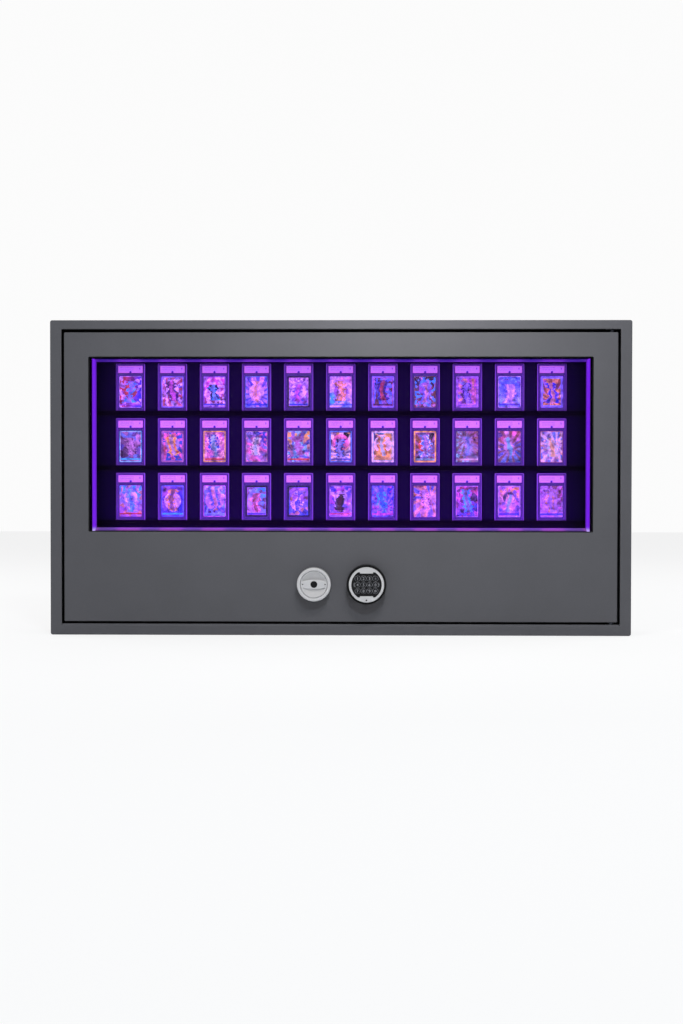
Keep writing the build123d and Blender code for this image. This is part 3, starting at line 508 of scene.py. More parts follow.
def stood_up(geometry, place):
    """A flat layout turned upright, with its middle at a place."""
    inputs = {"Geometry": geometry, "Rotation": (math.pi / 2, 0.0, 0.0), "Translation": place}
    return add_node(geometry.tree, "GeometryNodeTransform", inputs)


def set_out(points, piece, rotation=(0.0, 0.0, 0.0)):
    """One copy of a piece on each point."""
    inputs = {"Points": points, "Instance": piece, "Rotation": rotation}
    return add_node(points.tree, "GeometryNodeInstanceOnPoints", inputs)


def close_tree(gives, geometry, finish):
    """Ends a tree: copies made real, then the finish set."""
    solid = add_node(geometry.tree, "GeometryNodeRealizeInstances", {"Geometry": geometry})
    coated = add_node(geometry.tree, "GeometryNodeSetMaterial", {"Geometry": solid, "Material": finish})
    join(coated, gives.inputs["Geometry"])


def run_tree(made, tree, **values):
    """Runs a tree on an object with these inputs, and keeps the result as a plain mesh."""
    modifier = made.modifiers.new(tree.name, "NODES")
    modifier.node_group = tree
    sockets = {item.name: item.identifier for item in tree.interface.items_tree if item.in_out == "INPUT"}
    for name, value in values.items():
        modifier[sockets[name.replace("_", " ").capitalize()]] = value
    graph = bpy.context.evaluated_depsgraph_get()
    mesh = bpy.data.meshes.new_from_object(made.evaluated_get(graph))
    made.modifiers.clear()
    made.data = mesh


def size_inside(low, high, inset):
    """Width and height of a box, less an inset all round."""
    return {"width": high.x - low.x - 2 * inset, "height": high.z - low.z - 2 * inset}


def make_screws(name, tree, size=1.0, **values):
    """Black screws laid out by a tree."""
    mesh = screw_mesh(name)
    mesh.transform(Matrix.Scale(size, 4))
    screws = link_object(name, mesh, black_steel)
    run_tree(screws, tree, finish=black_steel, **values)
    return screws


screw_row, given, gives = new_tree("screws_round_a_rectangle", [
    ("Width", "Float", 1.0), ("Height", "Float", 0.5), ("Middle", "Vector", (0.0, 0.0, 0.0)),
    ("Pitch", "Float", 0.15), ("Faces back", "Bool", False)])
outline = add_node(screw_row, "GeometryNodeCurvePrimitiveQuadrilateral",
                   {"Width": given["Width"], "Height": given["Height"]})
evenly = add_node(screw_row, "GeometryNodeResampleCurve",
                  {"Curve": outline, "Length": given["Pitch"]}, mode="LENGTH")
half_turn = add_node(screw_row, "ShaderNodeCombineXYZ", {"Z": given["Faces back"] * math.pi})
placed = set_out(stood_up(evenly, given["Middle"]), given["Geometry"], half_turn)
close_tree(gives, placed, given["Finish"])

facia_screws = make_screws(
    "facia_screws", screw_row, middle=(0.0, facia_low.y, 0.0), pitch=facia_screw_pitch,
    faces_back=False, **size_inside(facia_low, facia_high, facia_screw_inset))
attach(facia_screws, "case")

# --- Liner, back panel and ledges of the lit space ---
# Black powder-coated sheet: a liner round the space, a panel on standoffs and three ledges
# with a low lip that the card holders stand behind.
# The black of the panel and the ledges is tinted violet: a painted glow of the violet light. The ledges are
# darker than the panel.
panel_black_and_painted_glow = (0.0058, 0.0022, 0.0240, 1.0)
ledge_black_and_painted_glow = (0.0022, 0.0012, 0.0050, 1.0)
panel_black = powder_coated(
    "panel_black", panel_black_and_painted_glow, black_worn_and_lit_edge,
    grain=1200.0, roughness=0.55, spread=0.2, relief=0.25, gloss=0.08)
ledge_black = powder_coated(
    "ledge_black", ledge_black_and_painted_glow, black_worn_and_lit_edge,
    grain=1200.0, roughness=0.6, spread=0.2, relief=0.25, gloss=0.04)
finish_nodes(inner_black, "display_surround")
finish_nodes(panel_black, "display_back_panel")
finish_nodes(ledge_black, "card_shelves")

# --- Light bars ---
# Aluminium channels along the four walls, each with a sloping opal diffuser over a strip of
# violet light. The strip is brightest in line with the columns of holders.
bar_colour = (0.50, 0.51, 0.53, 1.0)
diffuser_colour = (0.10, 0.06, 0.16, 1.0)
diffuser_roughness = 0.45
glow_side = (0.175, 0.014, 0.78, 1.0)
glow_top = (0.085, 0.010, 0.36, 1.0)
glow_bottom = (0.25, 0.060, 0.38, 1.0)
glow_between = (0.42, 0.80, 0.66, 1.0)
# Whiter painted reflection of the lower bar at the foot of each upright diffuser.
foot_painted_reflection = (0.55, 0.42, 0.95, 1.0)
foot_reflection_reach = 0.016
glow_rise = 0.0045
glow_at_edge = 0.12
glow_fades_from = 0.25
glow_fades_to = -0.55
bar_slope_width = 0.0125
column_pitch = 0.1202
violet_light = (0.445, 0.125, 1.0)
blue_light = (0.30, 0.02, 1.0)
light_behind_lip = 0.004
space_share = 0.94
lower_light_share = 0.92
lower_light_up = 0.016
lower_light_aim = 0.09
lower_light_depth = 0.012

bar_aluminium = machined(
    "bar_aluminium", bar_colour, (60.0, 800.0, 800.0), roughness=0.34, stain=0.15, relief=0.15)
finish_nodes(bar_aluminium, "light_channels")

space_low, space_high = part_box("display_surround")
space_middle = (space_low.z + space_high.z) / 2
space_width = space_high.x - space_low.x
space_height = space_high.z - space_low.z


def remapped(value, from_low, from_high, to_low=0.0, to_high=1.0, curve="LINEAR"):
    """A number carried from one range to another, held to its ends."""
    inputs = {"Value": value, "From Min": from_low, "From Max": from_high, "To Min": to_low,
              "To Max": to_high}
    return add_node(value.tree, "ShaderNodeMapRange", inputs, interpolation_type=curve)


def separated(vector):
    """Node that takes a vector apart into X, Y and Z."""
    return add_node(vector.tree, "ShaderNodeSeparateXYZ", {0: vector})


glow, given, gives = new_group(
    "violet_glow",
    [("Side", "Color", glow_side), ("Top", "Color", glow_top), ("Bottom", "Color", glow_bottom),
     ("Between", "Color", glow_between), ("End", "Color", foot_painted_reflection), ("Pitch", "Float", column_pitch),
     ("Rise", "Float", glow_rise)],
    [("Colour", "Color")],
)
along = separated(object_place(glow))
wave = maths("COSINE", along["X"] / given["Pitch"] * (2 * math.pi))
in_line = remapped(wave, glow_fades_to, glow_fades_from, curve="SMOOTHSTEP")
inner_reach = abs(along["X"])
is_side = inner_reach > space_high.x - bar_slope_width
is_low = along["Z"] < space_middle
bright = mixed(is_low, given["Top"], given["Bottom"])
dim = mixed(1.0, bright, given["Between"], blend="MULTIPLY")
lengthwise = mixed(in_line, dim, bright)
from_wall = space_high.x - inner_reach
to_lip = bar_slope_width - from_wall
nearest = maths("MINIMUM", from_wall, to_lip) / given["Rise"]
swell = remapped(nearest, 0.0, 1.0, glow_at_edge, curve="SMOOTHSTEP")
# At the foot of each upright diffuser the painted reflection of the lower bar is mixed into its glow.
in_foot_reflection = remapped(along["Z"] - space_low.z, foot_reflection_reach, 0.0, curve="SMOOTHSTEP")
upright_bar = scaled(mixed(in_foot_reflection, given["Side"], given["End"]), swell)
hand_out(gives, colour=mixed(is_side, lengthwise, upright_bar))

light_diffuser, tree = new_material("light_diffuser")
surface(tree, base_color=diffuser_colour, roughness=diffuser_roughness,
        emission_color=use_group(tree, glow), emission_strength=1.0)
finish_nodes(light_diffuser, "light_diffusers")

bar_place_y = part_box("light_diffusers")[0].y + light_behind_lip
add_lamp("strip_light", (0, bar_place_y, space_middle), (0, 0, space_middle),
         space_width * space_share, space_height * space_share, 4.9, violet_light)
add_lamp("lower_bar_light", (0, bar_place_y, space_low.z + lower_light_up),
         (0, 0, space_low.z + lower_light_aim), space_width * lower_light_share, lower_light_depth, 0.55,
         blue_light)

# --- LED driver ---
# Ribbed aluminium driver that feeds the light bars. Its two feet are screwed to the back
# plate, out of sight behind the facia.
driver_low, driver_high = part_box("power_supply")
foot_width = 0.014
foot_thickness = 0.003
driver_back = driver_high.y - foot_thickness
driver_middle = (driver_low.z + driver_high.z) / 2
finish_nodes(bar_aluminium, "power_supply")

screw_pair, given, gives = new_tree("pair_of_screws", [
    ("Start", "Vector", (0.0, 0.0, 0.0)), ("End", "Vector", (1.0, 0.0, 0.0))])
pair = add_node(screw_pair, "GeometryNodeMeshLine",
                {"Count": 2, "Start Location": given["Start"], "Offset": given["End"]}, mode="END_POINTS")
close_tree(gives, set_out(pair, given["Geometry"]), given["Finish"])

driver_screws = make_screws("driver_screws", screw_pair,
                            start=(driver_low.x + foot_width / 2, driver_back, driver_middle),
                            end=(driver_high.x - foot_width / 2, driver_back, driver_middle))
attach(driver_screws, "case")

# --- Card holders ---
# Thirty-three moulded clear holders, welded round their rim. Each has a frosted border, a
# clear cover, a paper label at the top and a printed card in its well.
holder_width = 0.0825
holder_height = 0.1365
holder_back = 0.0535
holder_front = 0.060
holder_corner = 0.0028
rim_bevel = 0.0012
border_width = 0.0042
cover_front = 0.0593
cover_gap = 0.0007
land_depth = 0.058
land_edge = 0.0004
well_floor = 0.0565
well_half_width = 0.0334
well_low = 0.0085
well_high = 0.104
ridge_gap = 0.0012
ridge_thickness = 0.0006
ridge_corner = 0.0009
label_half_width = 0.035
label_low = 0.110
label_high = 0.130
label_corner = 0.0008
label_room = 0.00025
card_half_width = 0.03175
card_low = 0.0118
card_high = 0.1007
card_corner = 0.003
paper_thickness = 0.0005
paper_gap = 0.00005
holder_columns = 11
holder_rows = 3
row_pitch = 0.156
first_column_x = -0.601
top_row_z = 0.19025


def rounded_outline(x_half, z_low, z_high, radius, per_corner=4):
    """Points round a rectangle with rounded corners, as (x, z) pairs."""
    points = []
    for index, (x_sign, z_corner, z_sign) in enumerate(
            ((1, z_high, -1), (-1, z_high, -1), (-1, z_low, 1), (1, z_low, 1))):
        for step in range(per_corner + 1):
            angle = math.pi / 2 * (index + step / per_corner)
            points.append((x_sign * (x_half - radius) + radius * math.cos(angle),
                           z_corner + z_sign * radius + radius * math.sin(angle)))
    return points


def lofted(made, levels):
    """Walls between outlines at increasing depths out from the wall: their rings of points."""
    rings = [[made.verts.new((x, -depth, z)) for x, z in outline] for outline, depth in levels]
    walls(made, rings)
    return rings


def lofted_solid(made, levels):
    """Walls between outlines, with both ends closed."""
    rings = lofted(made, levels)
    made.faces.new(rings[0])
    made.faces.new(rings[-1])


def tray_outline(inset, radius):
    """Outline of the tray, set in from its edge by a distance."""
    return rounded_outline(holder_width / 2 - inset, inset, holder_height - inset, radius)


def shell_mesh():
    """Tray with its raised rim, and the lands round the label and the card."""
    made = bmesh.new()
    lofted_solid(made, [
        (tray_outline(rim_bevel, holder_corner), holder_back),
        (tray_outline(0, holder_corner), holder_back + rim_bevel),
        (tray_outline(0, holder_corner), holder_front - rim_bevel),
        (tray_outline(rim_bevel, holder_corner), holder_front),
        (tray_outline(border_width, holder_corner / 2), holder_front),
        (tray_outline(border_width + rim_bevel / 2, holder_corner / 2), well_floor),
    ])
    side = holder_width / 2 - border_width
    label_side = label_half_width + label_room
    label_foot = label_low - label_room
    label_head = label_high + label_room
    for left, right, low, high in (
        (-side, side, border_width, well_low), (-side, side, well_high, label_foot),
        (-side, side, label_head, holder_height - border_width),
        (-side, -well_half_width, well_low, well_high), (well_half_width, side, well_low, well_high),
        (-side, -label_side, label_foot, label_head), (label_side, side, label_foot, label_head),
    ):
        land = [(left, low), (right, low), (right, high), (left, high)]
        lofted_solid(made, [(land, well_floor - paper_thickness), (land, land_depth)])
    return finished_mesh("holder_shells", made)


def ridge_mesh():
    """Thin raised line moulded round the well of the card."""
    made = bmesh.new()
    reach = ridge_gap + ridge_thickness
    outer = rounded_outline(well_half_width + reach, well_low - reach, well_high + reach,
                            ridge_corner + ridge_thickness)
    inner = rounded_outline(well_half_width + ridge_gap, well_low - ridge_gap, well_high + ridge_gap,
                            ridge_corner)
    crown = land_depth + ridge_thickness
    rings = lofted(made, [(outer, land_depth), (outer, crown), (inner, crown), (inner, land_depth)])
    walls(made, [rings[-1], rings[0]])
    return finished_mesh("holder_ridges", made)


def cover_mesh():
    """Clear front sheet inside the rim."""
    made = bmesh.new()
    outline = tray_outline(border_width + rim_bevel, holder_corner / 2)
    lofted_solid(made, [(outline, land_depth + cover_gap), (outline, cover_front)])
    return finished_mesh("holder_covers", made)


def paper_mesh(name, x_half, low, high, radius):
    """Sheet of card or paper. Its UV map runs from 0 to 1 over the sheet."""
    made = bmesh.new()
    outline = rounded_outline(x_half, low, high, radius)
    lofted_solid(made, [(outline, well_floor + paper_gap), (outline, well_floor + paper_thickness)])
    spread = made.loops.layers.uv.new("sheet")
    for face in made.faces:
        for corner in face.loops:
            place = corner.vert.co
            corner[spread].uv = ((place.x + x_half) / (2 * x_half), (place.z - low) / (high - low))
    return finished_mesh(name, made)


holder_grid, given, gives = new_tree("rows_of_holders", [
    ("Columns", "Int", 11), ("Rows", "Int", 3), ("Column pitch", "Float", 0.12),
    ("Row pitch", "Float", 0.15), ("First", "Vector", (0.0, 0.0, 0.0))])
row_length = (given["Columns"] - 1.0) * given["Column pitch"]
rows_depth = (given["Rows"] - 1.0) * given["Row pitch"]
lattice = add_node(holder_grid, "GeometryNodeMeshGrid", {
    "Size X": row_length, "Size Y": rows_depth,
    "Vertices X": given["Columns"], "Vertices Y": given["Rows"]})
to_middle = add_node(holder_grid, "ShaderNodeCombineXYZ", {"X": row_length * 0.5, "Z": rows_depth * -0.5})
grid_middle = vector_maths("ADD", given["First"], to_middle)
placed = set_out(stood_up(lattice, grid_middle), given["Geometry"])
numbered = add_node(
    holder_grid, "GeometryNodeStoreNamedAttribute",
    {"Geometry": placed, "Name": "holder_number", "Value": add_node(holder_grid, "GeometryNodeInputIndex")},
    data_type="FLOAT", domain="INSTANCE")
close_tree(gives, numbered, given["Finish"])

frosted_tint = (0.085, 0.062, 0.16, 1.0)
land_tint = (0.070, 0.020, 0.20, 1.0)
# Lighter colour on the rim's sides and bevels: a painted highlight of the violet light.
rim_painted_highlight = (0.47, 0.36, 0.74, 1.0)
acrylic_tint = (0.97, 0.96, 1.0, 1.0)
acrylic_passes = 0.93
facing_limit = 0.9
frosted_relief_depth = 0.0002
scuff_scale = 180.0
patches_from = 0.55
patches_to = 0.8


def clear_mix(shader, kind, passed):
    """Lets shadow rays and rays of one kind straight through a clear piece, at a given strength."""
    tree = shader.tree
    path = add_node(tree, "ShaderNodeLightPath")
    chosen = maths("MAXIMUM", path["Is Shadow Ray"], path[kind])
    open_air = add_node(tree, "ShaderNodeBsdfTransparent", {"Color": (passed, passed, passed, 1.0)})
    show(tree, add_node(tree, "ShaderNodeMixShader", {0: chosen, 1: shader, 2: open_air}))


clear_acrylic, tree = new_material("clear_acrylic")
scuffs = noise(object_place(tree), scuff_scale, 6.0)
scuffed = remapped(scuffs, patches_from, patches_to, 0.03, 0.14)
clear_mix(add_node(tree, "ShaderNodeBsdfPrincipled", {
    "Base Color": acrylic_tint, "Roughness": scuffed, "IOR": 1.3, "Transmission Weight": 1.0,
    "Specular IOR Level": 0.3}), "Is Diffuse Ray", acrylic_passes)

frosted_acrylic, tree = new_material("frosted_acrylic")
position = object_place(tree)
on_border = separated(position)["Y"] < -(land_depth + land_edge)
normal = separated(add_node(tree, "ShaderNodeNewGeometry")["Normal"])
# Faces that do not face the front take the painted rim highlight.
on_edge = 1.0 - (abs(normal["Y"]) > facing_limit)
grain = noise(position, 420.0, 3.0)
tint = mixed(on_edge, mixed(on_border, land_tint, frosted_tint), rim_painted_highlight)
surface(tree, base_color=scaled(tint, grain * 0.3 + 0.85), roughness=0.38,
        normal=bumped(grain, 0.15, frosted_relief_depth), transmission_weight=0.12,
        specular_ior_level=0.25)

# Every card is a made-up abstract design, drawn from its own number: a wash of two inks with
# shards, rays, a disc, a ragged upright band, a bar and a border.
card_rise = (card_high - card_low) / (2 * card_half_width)
# Colour shift of the middle row: painted light, less violet than on the other rows.
middle_row_painted_light = (1.15, 1.6, 0.62)
paper_gloss = 0.2
seed_step = 1.37
ink_colours = (
    (0.80, 0.86, 0.90), (0.03, 0.05, 0.50), (0.30, 0.35, 0.75), (0.34, 0.16, 0.42), (0.016, 0.012, 0.035),
    (0.05, 0.80, 0.95), (0.75, 0.20, 0.50), (0.58, 0.50, 0.62), (0.55, 0.09, 0.03), (0.20, 0.62, 0.70),
    (0.80, 0.55, 0.60), (0.05, 0.02, 0.12), (0.80, 0.60, 0.12), (0.02, 0.10, 0.55), (0.45, 0.30, 0.60),
    (0.86, 0.90, 0.95), (0.10, 0.30, 0.85), (0.22, 0.10, 0.04),
)


def holder_number(tree):
    """Number of the holder that a sheet lies in."""
    return add_node(tree, "ShaderNodeAttribute", attribute_name="holder_number")["Fac"]


def sheet_place(tree):
    """Place on a sheet of paper, from 0 to 1 each way."""
    return add_node(tree, "ShaderNodeUVMap", uv_map="sheet")


def drawn_number(number, salt):
    """A number from 0 to 1 that is fixed for one card and one use."""
    seed = maths("MULTIPLY_ADD", number, seed_step, salt)
    return add_node(number.tree, "ShaderNodeTexWhiteNoise", {"W": seed}, noise_dimensions="1D")["Value"]


def ranged(number, salt, low, high):
    """A number between two limits that is fixed for one card and one use."""
    return drawn_number(number, salt) * (high - low) + low


def ink(number, salt):
    """One of the inks, chosen by a card's number."""
    ramp = number.tree.nodes.new("ShaderNodeValToRGB")
    join(drawn_number(number, salt), ramp.inputs["Fac"])
    ramp.color_ramp.interpolation = "CONSTANT"
    stops = ramp.color_ramp.elements
    for index, colour in enumerate(ink_colours):
        place = index / len(ink_colours)
        stop = stops[index] if index < 2 else stops.new(place)
        stop.position = place
        stop.color = (*colour, 1.0)
    return Wire(ramp.outputs[0])


def noise_along(length, roughness=0.5):
    """Soft noise from 0 to 1 along a length."""
    inputs = {"W": length, "Scale": 1.0, "Detail": 3.0, "Roughness": roughness}
    return add_node(length.tree, "ShaderNodeTexNoise", inputs, noise_dimensions="1D")


card_print, tree = new_material("card_print")
number = holder_number(tree)
on_card = vector_maths("MULTIPLY", sheet_place(tree), (1.0, card_rise, 1.0))
across_card = separated(on_card)["X"]
up_card = separated(on_card)["Y"]
from_middle = across_card - 0.5
above_middle = up_card - card_rise / 2
to_edge = maths("MINIMUM", 0.5 - abs(from_middle), card_rise / 2 - abs(above_middle))
far_apart = add_node(tree, "ShaderNodeCombineXYZ", {"Z": number * 3.7})
own_place = vector_maths("ADD", on_card, far_apart)

# A wash of two inks, slanting its own way on each card.
slant = ranged(number, 3.1, 0.0, 6.28)
tilted = from_middle * maths("COSINE", slant) + above_middle * maths("SINE", slant)
wash = remapped(tilted, -0.45, 0.45)
art = mixed(wash, ink(number, 5.3), ink(number, 8.9))

# Angular shards in two more inks.
shards = add_node(tree, "ShaderNodeTexVoronoi",
                  {"Vector": own_place, "Scale": ranged(number, 12.7, 3.0, 11.0)})
shard_pick = add_node(tree, "ShaderNodeSeparateColor", {0: shards["Color"]})
art = mixed((shard_pick["Red"] > 0.60) * 0.8, art, ink(number, 17.1))
art = mixed((shard_pick["Green"] > 0.80) * 0.6, art, ink(number, 19.7))

# Rays from one point, on some of the cards.
sun_across = across_card - ranged(number, 21.3, 0.2, 0.8)
sun_up = up_card - ranged(number, 24.9, 0.3, 1.1)
turn = maths("ARCTAN2", sun_up, sun_across) * 13.0
rays = (maths("SINE", turn) > 0.3) * (drawn_number(number, 28.3) > 0.6)
art = mixed(rays * 0.8, art, ink(number, 31.7))

# A plain disc, on about half of them.
disc_up = up_card - ranged(number, 33.1, 0.65, 0.9)
from_disc = maths("SQRT", from_middle * from_middle + disc_up * disc_up)
disc = (from_disc < ranged(number, 34.7, 0.24, 0.44)) * (drawn_number(number, 36.9) > 0.45)
art = mixed(disc * 0.9, art, ink(number, 38.3))

# A ragged upright band that sways, with blotches and a core in other inks.
ragged = noise_along(number * 7.3 + up_card * 3.4, 0.65)
sway = maths("SINE", up_card * 4.6 + ranged(number, 40.1, 0.0, 6.0))
from_axis = abs(sway * 0.07 + from_middle)
band_half_width = ragged * 0.62 - 0.12
upright = (up_card > ranged(number, 41.9, 0.16, 0.34)) * (up_card < ranged(number, 43.3, 1.0, 1.24))
band = maths("LESS_THAN", from_axis, band_half_width) * upright
art = mixed(band, art, ink(number, 44.3))
fold = noise(own_place, 13.0, 4.0) > 0.54
art = mixed(band * fold * 0.85, art, ink(number, 47.7))
core = maths("LESS_THAN", from_axis, band_half_width * 0.42) * upright
art = mixed(core * 0.7, art, ink(number, 49.9))

# A bar near the foot, then the border and its thin line.
bar = (up_card < 0.17) * (up_card > 0.09) * (drawn_number(number, 50.3) > 0.4)
art = mixed(bar * 0.9, art, ink(number, 51.1))
in_border = to_edge < ranged(number, 54.5, -0.02, 0.085)
art = mixed(in_border, art, ink(number, 58.3))
keyline = maths("COMPARE", to_edge, ranged(number, 54.5, -0.01, 0.095), 0.008)
art = mixed(keyline, art, ink(number, 61.7))

# Light and dark over the whole sheet. The middle row is painted warmer, standing in for the less violet
# light that reaches it.
mottle = noise(own_place, 26.0, 4.0) * 1.8 + 0.15
shading = noise(own_place, 4.5) * 3.2 - 0.6
art = scaled(art, mottle * shading)
row_number = maths("MODULO", number, holder_rows)
in_middle_row = maths("COMPARE", row_number, (holder_rows - 1) / 2, 0.5)
art = mixed(in_middle_row, art, vector_maths("MULTIPLY", art, middle_row_painted_light))
surface(tree, base_color=art, roughness=0.35, specular_ior_level=paper_gloss)

# A label is pale paper with a pink frame, broken lines of plain bars, a mark and a round seal.
label_shape = 2 * label_half_width / (label_high - label_low)
label_paper = (0.86, 0.72, 0.84, 1.0)
label_frame = (0.99, 0.62, 0.62, 1.0)
label_lines = (0.22, 0.12, 0.35, 1.0)
label_mark = (0.25, 0.08, 0.20, 1.0)
label_seal = (0.12, 0.05, 0.34, 1.0)

label_print, tree = new_material("label_print")
across = separated(sheet_place(tree))
u_place = across["X"]
v_place = across["Y"]
from_side = (0.5 - abs(u_place - 0.5)) * label_shape
from_end = 0.5 - abs(v_place - 0.5)
paper = mixed(maths("MINIMUM", from_side, from_end) < 0.10, label_paper, label_frame)
line_number = maths("ROUND", v_place * 4.0)
line_place = add_node(tree, "ShaderNodeCombineXYZ", {
    "X": u_place * 55.0, "Y": line_number, "Z": holder_number(tree)})
dashes = (maths("SINE", v_place * 26.0) > 0.55) * (noise(line_place, 1.0, 0.0) > 0.47)
text_area = (u_place < 0.62) * (u_place > 0.09) * (v_place > 0.30) * (v_place < 0.86)
paper = mixed(dashes * text_area * 0.62, paper, label_lines)
mark = (abs(u_place - 0.88) < 0.022) * (abs(v_place - 0.62) < 0.13)
paper = mixed(mark * 0.7, paper, label_mark)
seal_across = (u_place - 0.5) * label_shape
seal_up = v_place - 0.12
from_seal = maths("SQRT", seal_across * seal_across + seal_up * seal_up)
paper = mixed(from_seal < 0.17, paper, label_seal)
surface(tree, base_color=paper, roughness=0.5, specular_ior_level=paper_gloss)

card_sheet = paper_mesh("holder_cards", card_half_width, card_low, card_high, card_corner)
label_sheet = paper_mesh("holder_labels", label_half_width, label_low, label_high, label_corner)
for name, mesh, material, node, slot_name in (
    ("holder_shells", shell_mesh(), frosted_acrylic, "card_holder_trays", "clear_acrylic"),
    ("holder_ridges", ridge_mesh(), frosted_acrylic, None, "clear_acrylic"),
    ("holder_covers", cover_mesh(), clear_acrylic, "card_holder_covers", "clear_acrylic"),
    ("holder_cards", card_sheet, card_print, "cards", "card_print"),
    ("holder_labels", label_sheet, label_print, "card_labels", "label_print"),
):
    holders = link_object(name, mesh, material)
    run_tree(holders, holder_grid, columns=holder_columns, rows=holder_rows, column_pitch=column_pitch,
             row_pitch=row_pitch, first=(first_column_x, 0.0, top_row_z), finish=material)
    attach(holders, "case")
    if node:
        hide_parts(node)

# --- Door shell ---
# Steel skin with a folded edge and back lip, welded at the corners and powder coated like
# the case. The window is cut out of the skin.
finish_nodes(case_paint, "door_skin", "door_edge_channel", "door_hinge_sleeves")

# --- Glazing ---
# Thick laminated pane, bedded on a black rubber gasket against the back of the skin and
# clamped from behind by a folded black retainer.
glass_tint = (0.975, 0.985, 0.98, 1.0)
glass_passes = 0.07
smear_scale = 9.0
finish_nodes(rubber, "glazing_gasket")
finish_nodes(inner_black, "glass_retainer")

window_glass, tree = new_material("window_glass")
smears = noise(object_place(tree), smear_scale, 5.0, distortion=0.6)
smeared = remapped(smears, patches_from, patches_to, 0.0, 0.05)
clear_mix(add_node(tree, "ShaderNodeBsdfPrincipled", {
    "Base Color": glass_tint, "Roughness": smeared, "IOR": 1.1, "Transmission Weight": 1.0}),
    "Is Reflection Ray", glass_passes)
finish_nodes(window_glass, "window_glass")

# --- Door seal ---
# Extruded rubber seal with a round bulb, glued all round the door's back lip. It closes
# against the facia.
seal_low, seal_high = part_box("door_seal")
seal_radius = (seal_high.y - seal_low.y) / 2
seal_width = 0.008
seal_foot_thickness = 0.0012
seal_corner = 0.012
bulb_share = 0.9
bulb_fullness = 0.8
bulb_steps = 8


def middle_of(low, high):
    """Middle of a box as seen from the front: its x and z."""
    return (low.x + high.x) / 2, (low.z + high.z) / 2


seal_sweep, given, gives = new_tree("seal_round_the_door", [
    ("Width", "Float", 1.4), ("Height", "Float", 0.7), ("Middle", "Vector", (0.0, 0.0, 0.0)),
    ("Corner", "Float", 0.01)])
outline = add_node(seal_sweep, "GeometryNodeCurvePrimitiveQuadrilateral",
                   {"Width": given["Width"], "Height": given["Height"]})
bent = add_node(seal_sweep, "GeometryNodeFilletCurve",
                {"Curve": outline, "Radius": given["Corner"], "Count": 5}, mode="POLY")
section = add_node(seal_sweep, "GeometryNodeMeshToCurve", {"Mesh": given["Geometry"]})
swept = add_node(seal_sweep, "GeometryNodeCurveToMesh", {"Curve": bent, "Profile Curve": section})
close_tree(gives, stood_up(swept, given["Middle"]), given["Finish"])

bulb_points = [(seal_width / 2, 0.0), (seal_width / 2, seal_foot_thickness)]
bulb_rise = 2 * seal_radius - seal_foot_thickness
for step in range(bulb_steps + 1):
    angle = math.pi * step / bulb_steps
    bulb_points.append((seal_radius * bulb_share * math.cos(angle),
                        seal_foot_thickness + bulb_rise * math.sin(angle) ** bulb_fullness))
bulb_points += [(-seal_width / 2, seal_foot_thickness), (-seal_width / 2, 0.0)]
bulb_mesh = bpy.data.meshes.new("door_seal_bulb")
edges = [(index, (index + 1) % len(bulb_points)) for index in range(len(bulb_points))]
bulb_mesh.from_pydata([(x, y, 0.0) for x, y in bulb_points], edges, [])
door_seal = link_object("door_seal_bulb", bulb_mesh, rubber)
seal_x, seal_z = middle_of(seal_low, seal_high)
run_tree(door_seal, seal_sweep, middle=(seal_x, seal_low.y, seal_z), corner=seal_corner, finish=rubber,
         **size_inside(seal_low, seal_high, seal_width / 2))
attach(door_seal, "door")
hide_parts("door_seal")

# --- Door cover ---
# Black folded sheet that closes the back of the door over the boltwork and the lock. It is
# screwed to the lip all round.
cover_low, cover_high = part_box("door_cover")
cover_screw_inset = 0.0065
cover_screw_pitch = 0.20
finish_nodes(inner_black, "door_cover")
cover_x, cover_z = middle_of(cover_low, cover_high)
cover_screws = make_screws(
    "cover_screws", screw_row, middle=(cover_x, cover_high.y, cover_z), pitch=cover_screw_pitch,
    faces_back=True, **size_inside(cover_low, cover_high, cover_screw_inset))
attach(cover_screws, "door")

# --- Bearings ---
# Turned bronze, pressed in: the bushes that the pivot pins turn in, the flanged bush of the
# handle's spindle and a sleeve for each bolt. The lock's swing bolt is bronze too.
bronze_colour = (0.50, 0.31, 0.13, 1.0)
bronze = machined("bronze", bronze_colour, (500.0, 500.0, 500.0), roughness=0.3, stain=0.35, relief=0.2)
finish_nodes(bronze, "bronze_bushes", "bolt_sleeves", "swing_bolt")

# --- Boltwork ---
# Two toothed steel bars, driven apart by the pinion between them. Each carries an upright bar
# with five hard-chromed bolts.
gear_colour = (0.36, 0.365, 0.38, 1.0)
chrome_colour = (0.62, 0.63, 0.65, 1.0)
bar_steel = machined(
    "bar_steel", steel_colour, (25.0, 900.0, 900.0), roughness=0.3, stain=0.35, relief=0.25)
upright_steel = machined(
    "upright_steel", steel_colour, (900.0, 900.0, 25.0), roughness=0.3, stain=0.35, relief=0.25)
gear_steel = machined(
    "gear_steel", gear_colour, (500.0, 80.0, 500.0), roughness=0.27, stain=0.4, relief=0.2)
bolt_chrome = machined(
    "bolt_chrome", chrome_colour, (900.0, 60.0, 60.0), roughness=0.09, stain=0.08, relief=0.05)
finish_nodes(bar_steel, "left_rack", "right_rack", "rack_guides")
finish_nodes(upright_steel, "left_bolt_bar", "right_bolt_bar")
finish_nodes(gear_steel, "pinion", "spindle")
finish_nodes(bolt_chrome, "left_bolts", "right_bolts")

# --- Lock body ---
# Die-cast body of the electronic lock, satin plated and screwed to the back of the skin. Its
# swing bolt blocks the boltwork.
silver_colour = (0.60, 0.60, 0.615, 1.0)
satin_cast = machined(
    "satin_cast", silver_colour, (420.0, 420.0, 420.0), roughness=0.36, stain=0.12, relief=0.12)
finish_nodes(satin_cast, "lock_case")

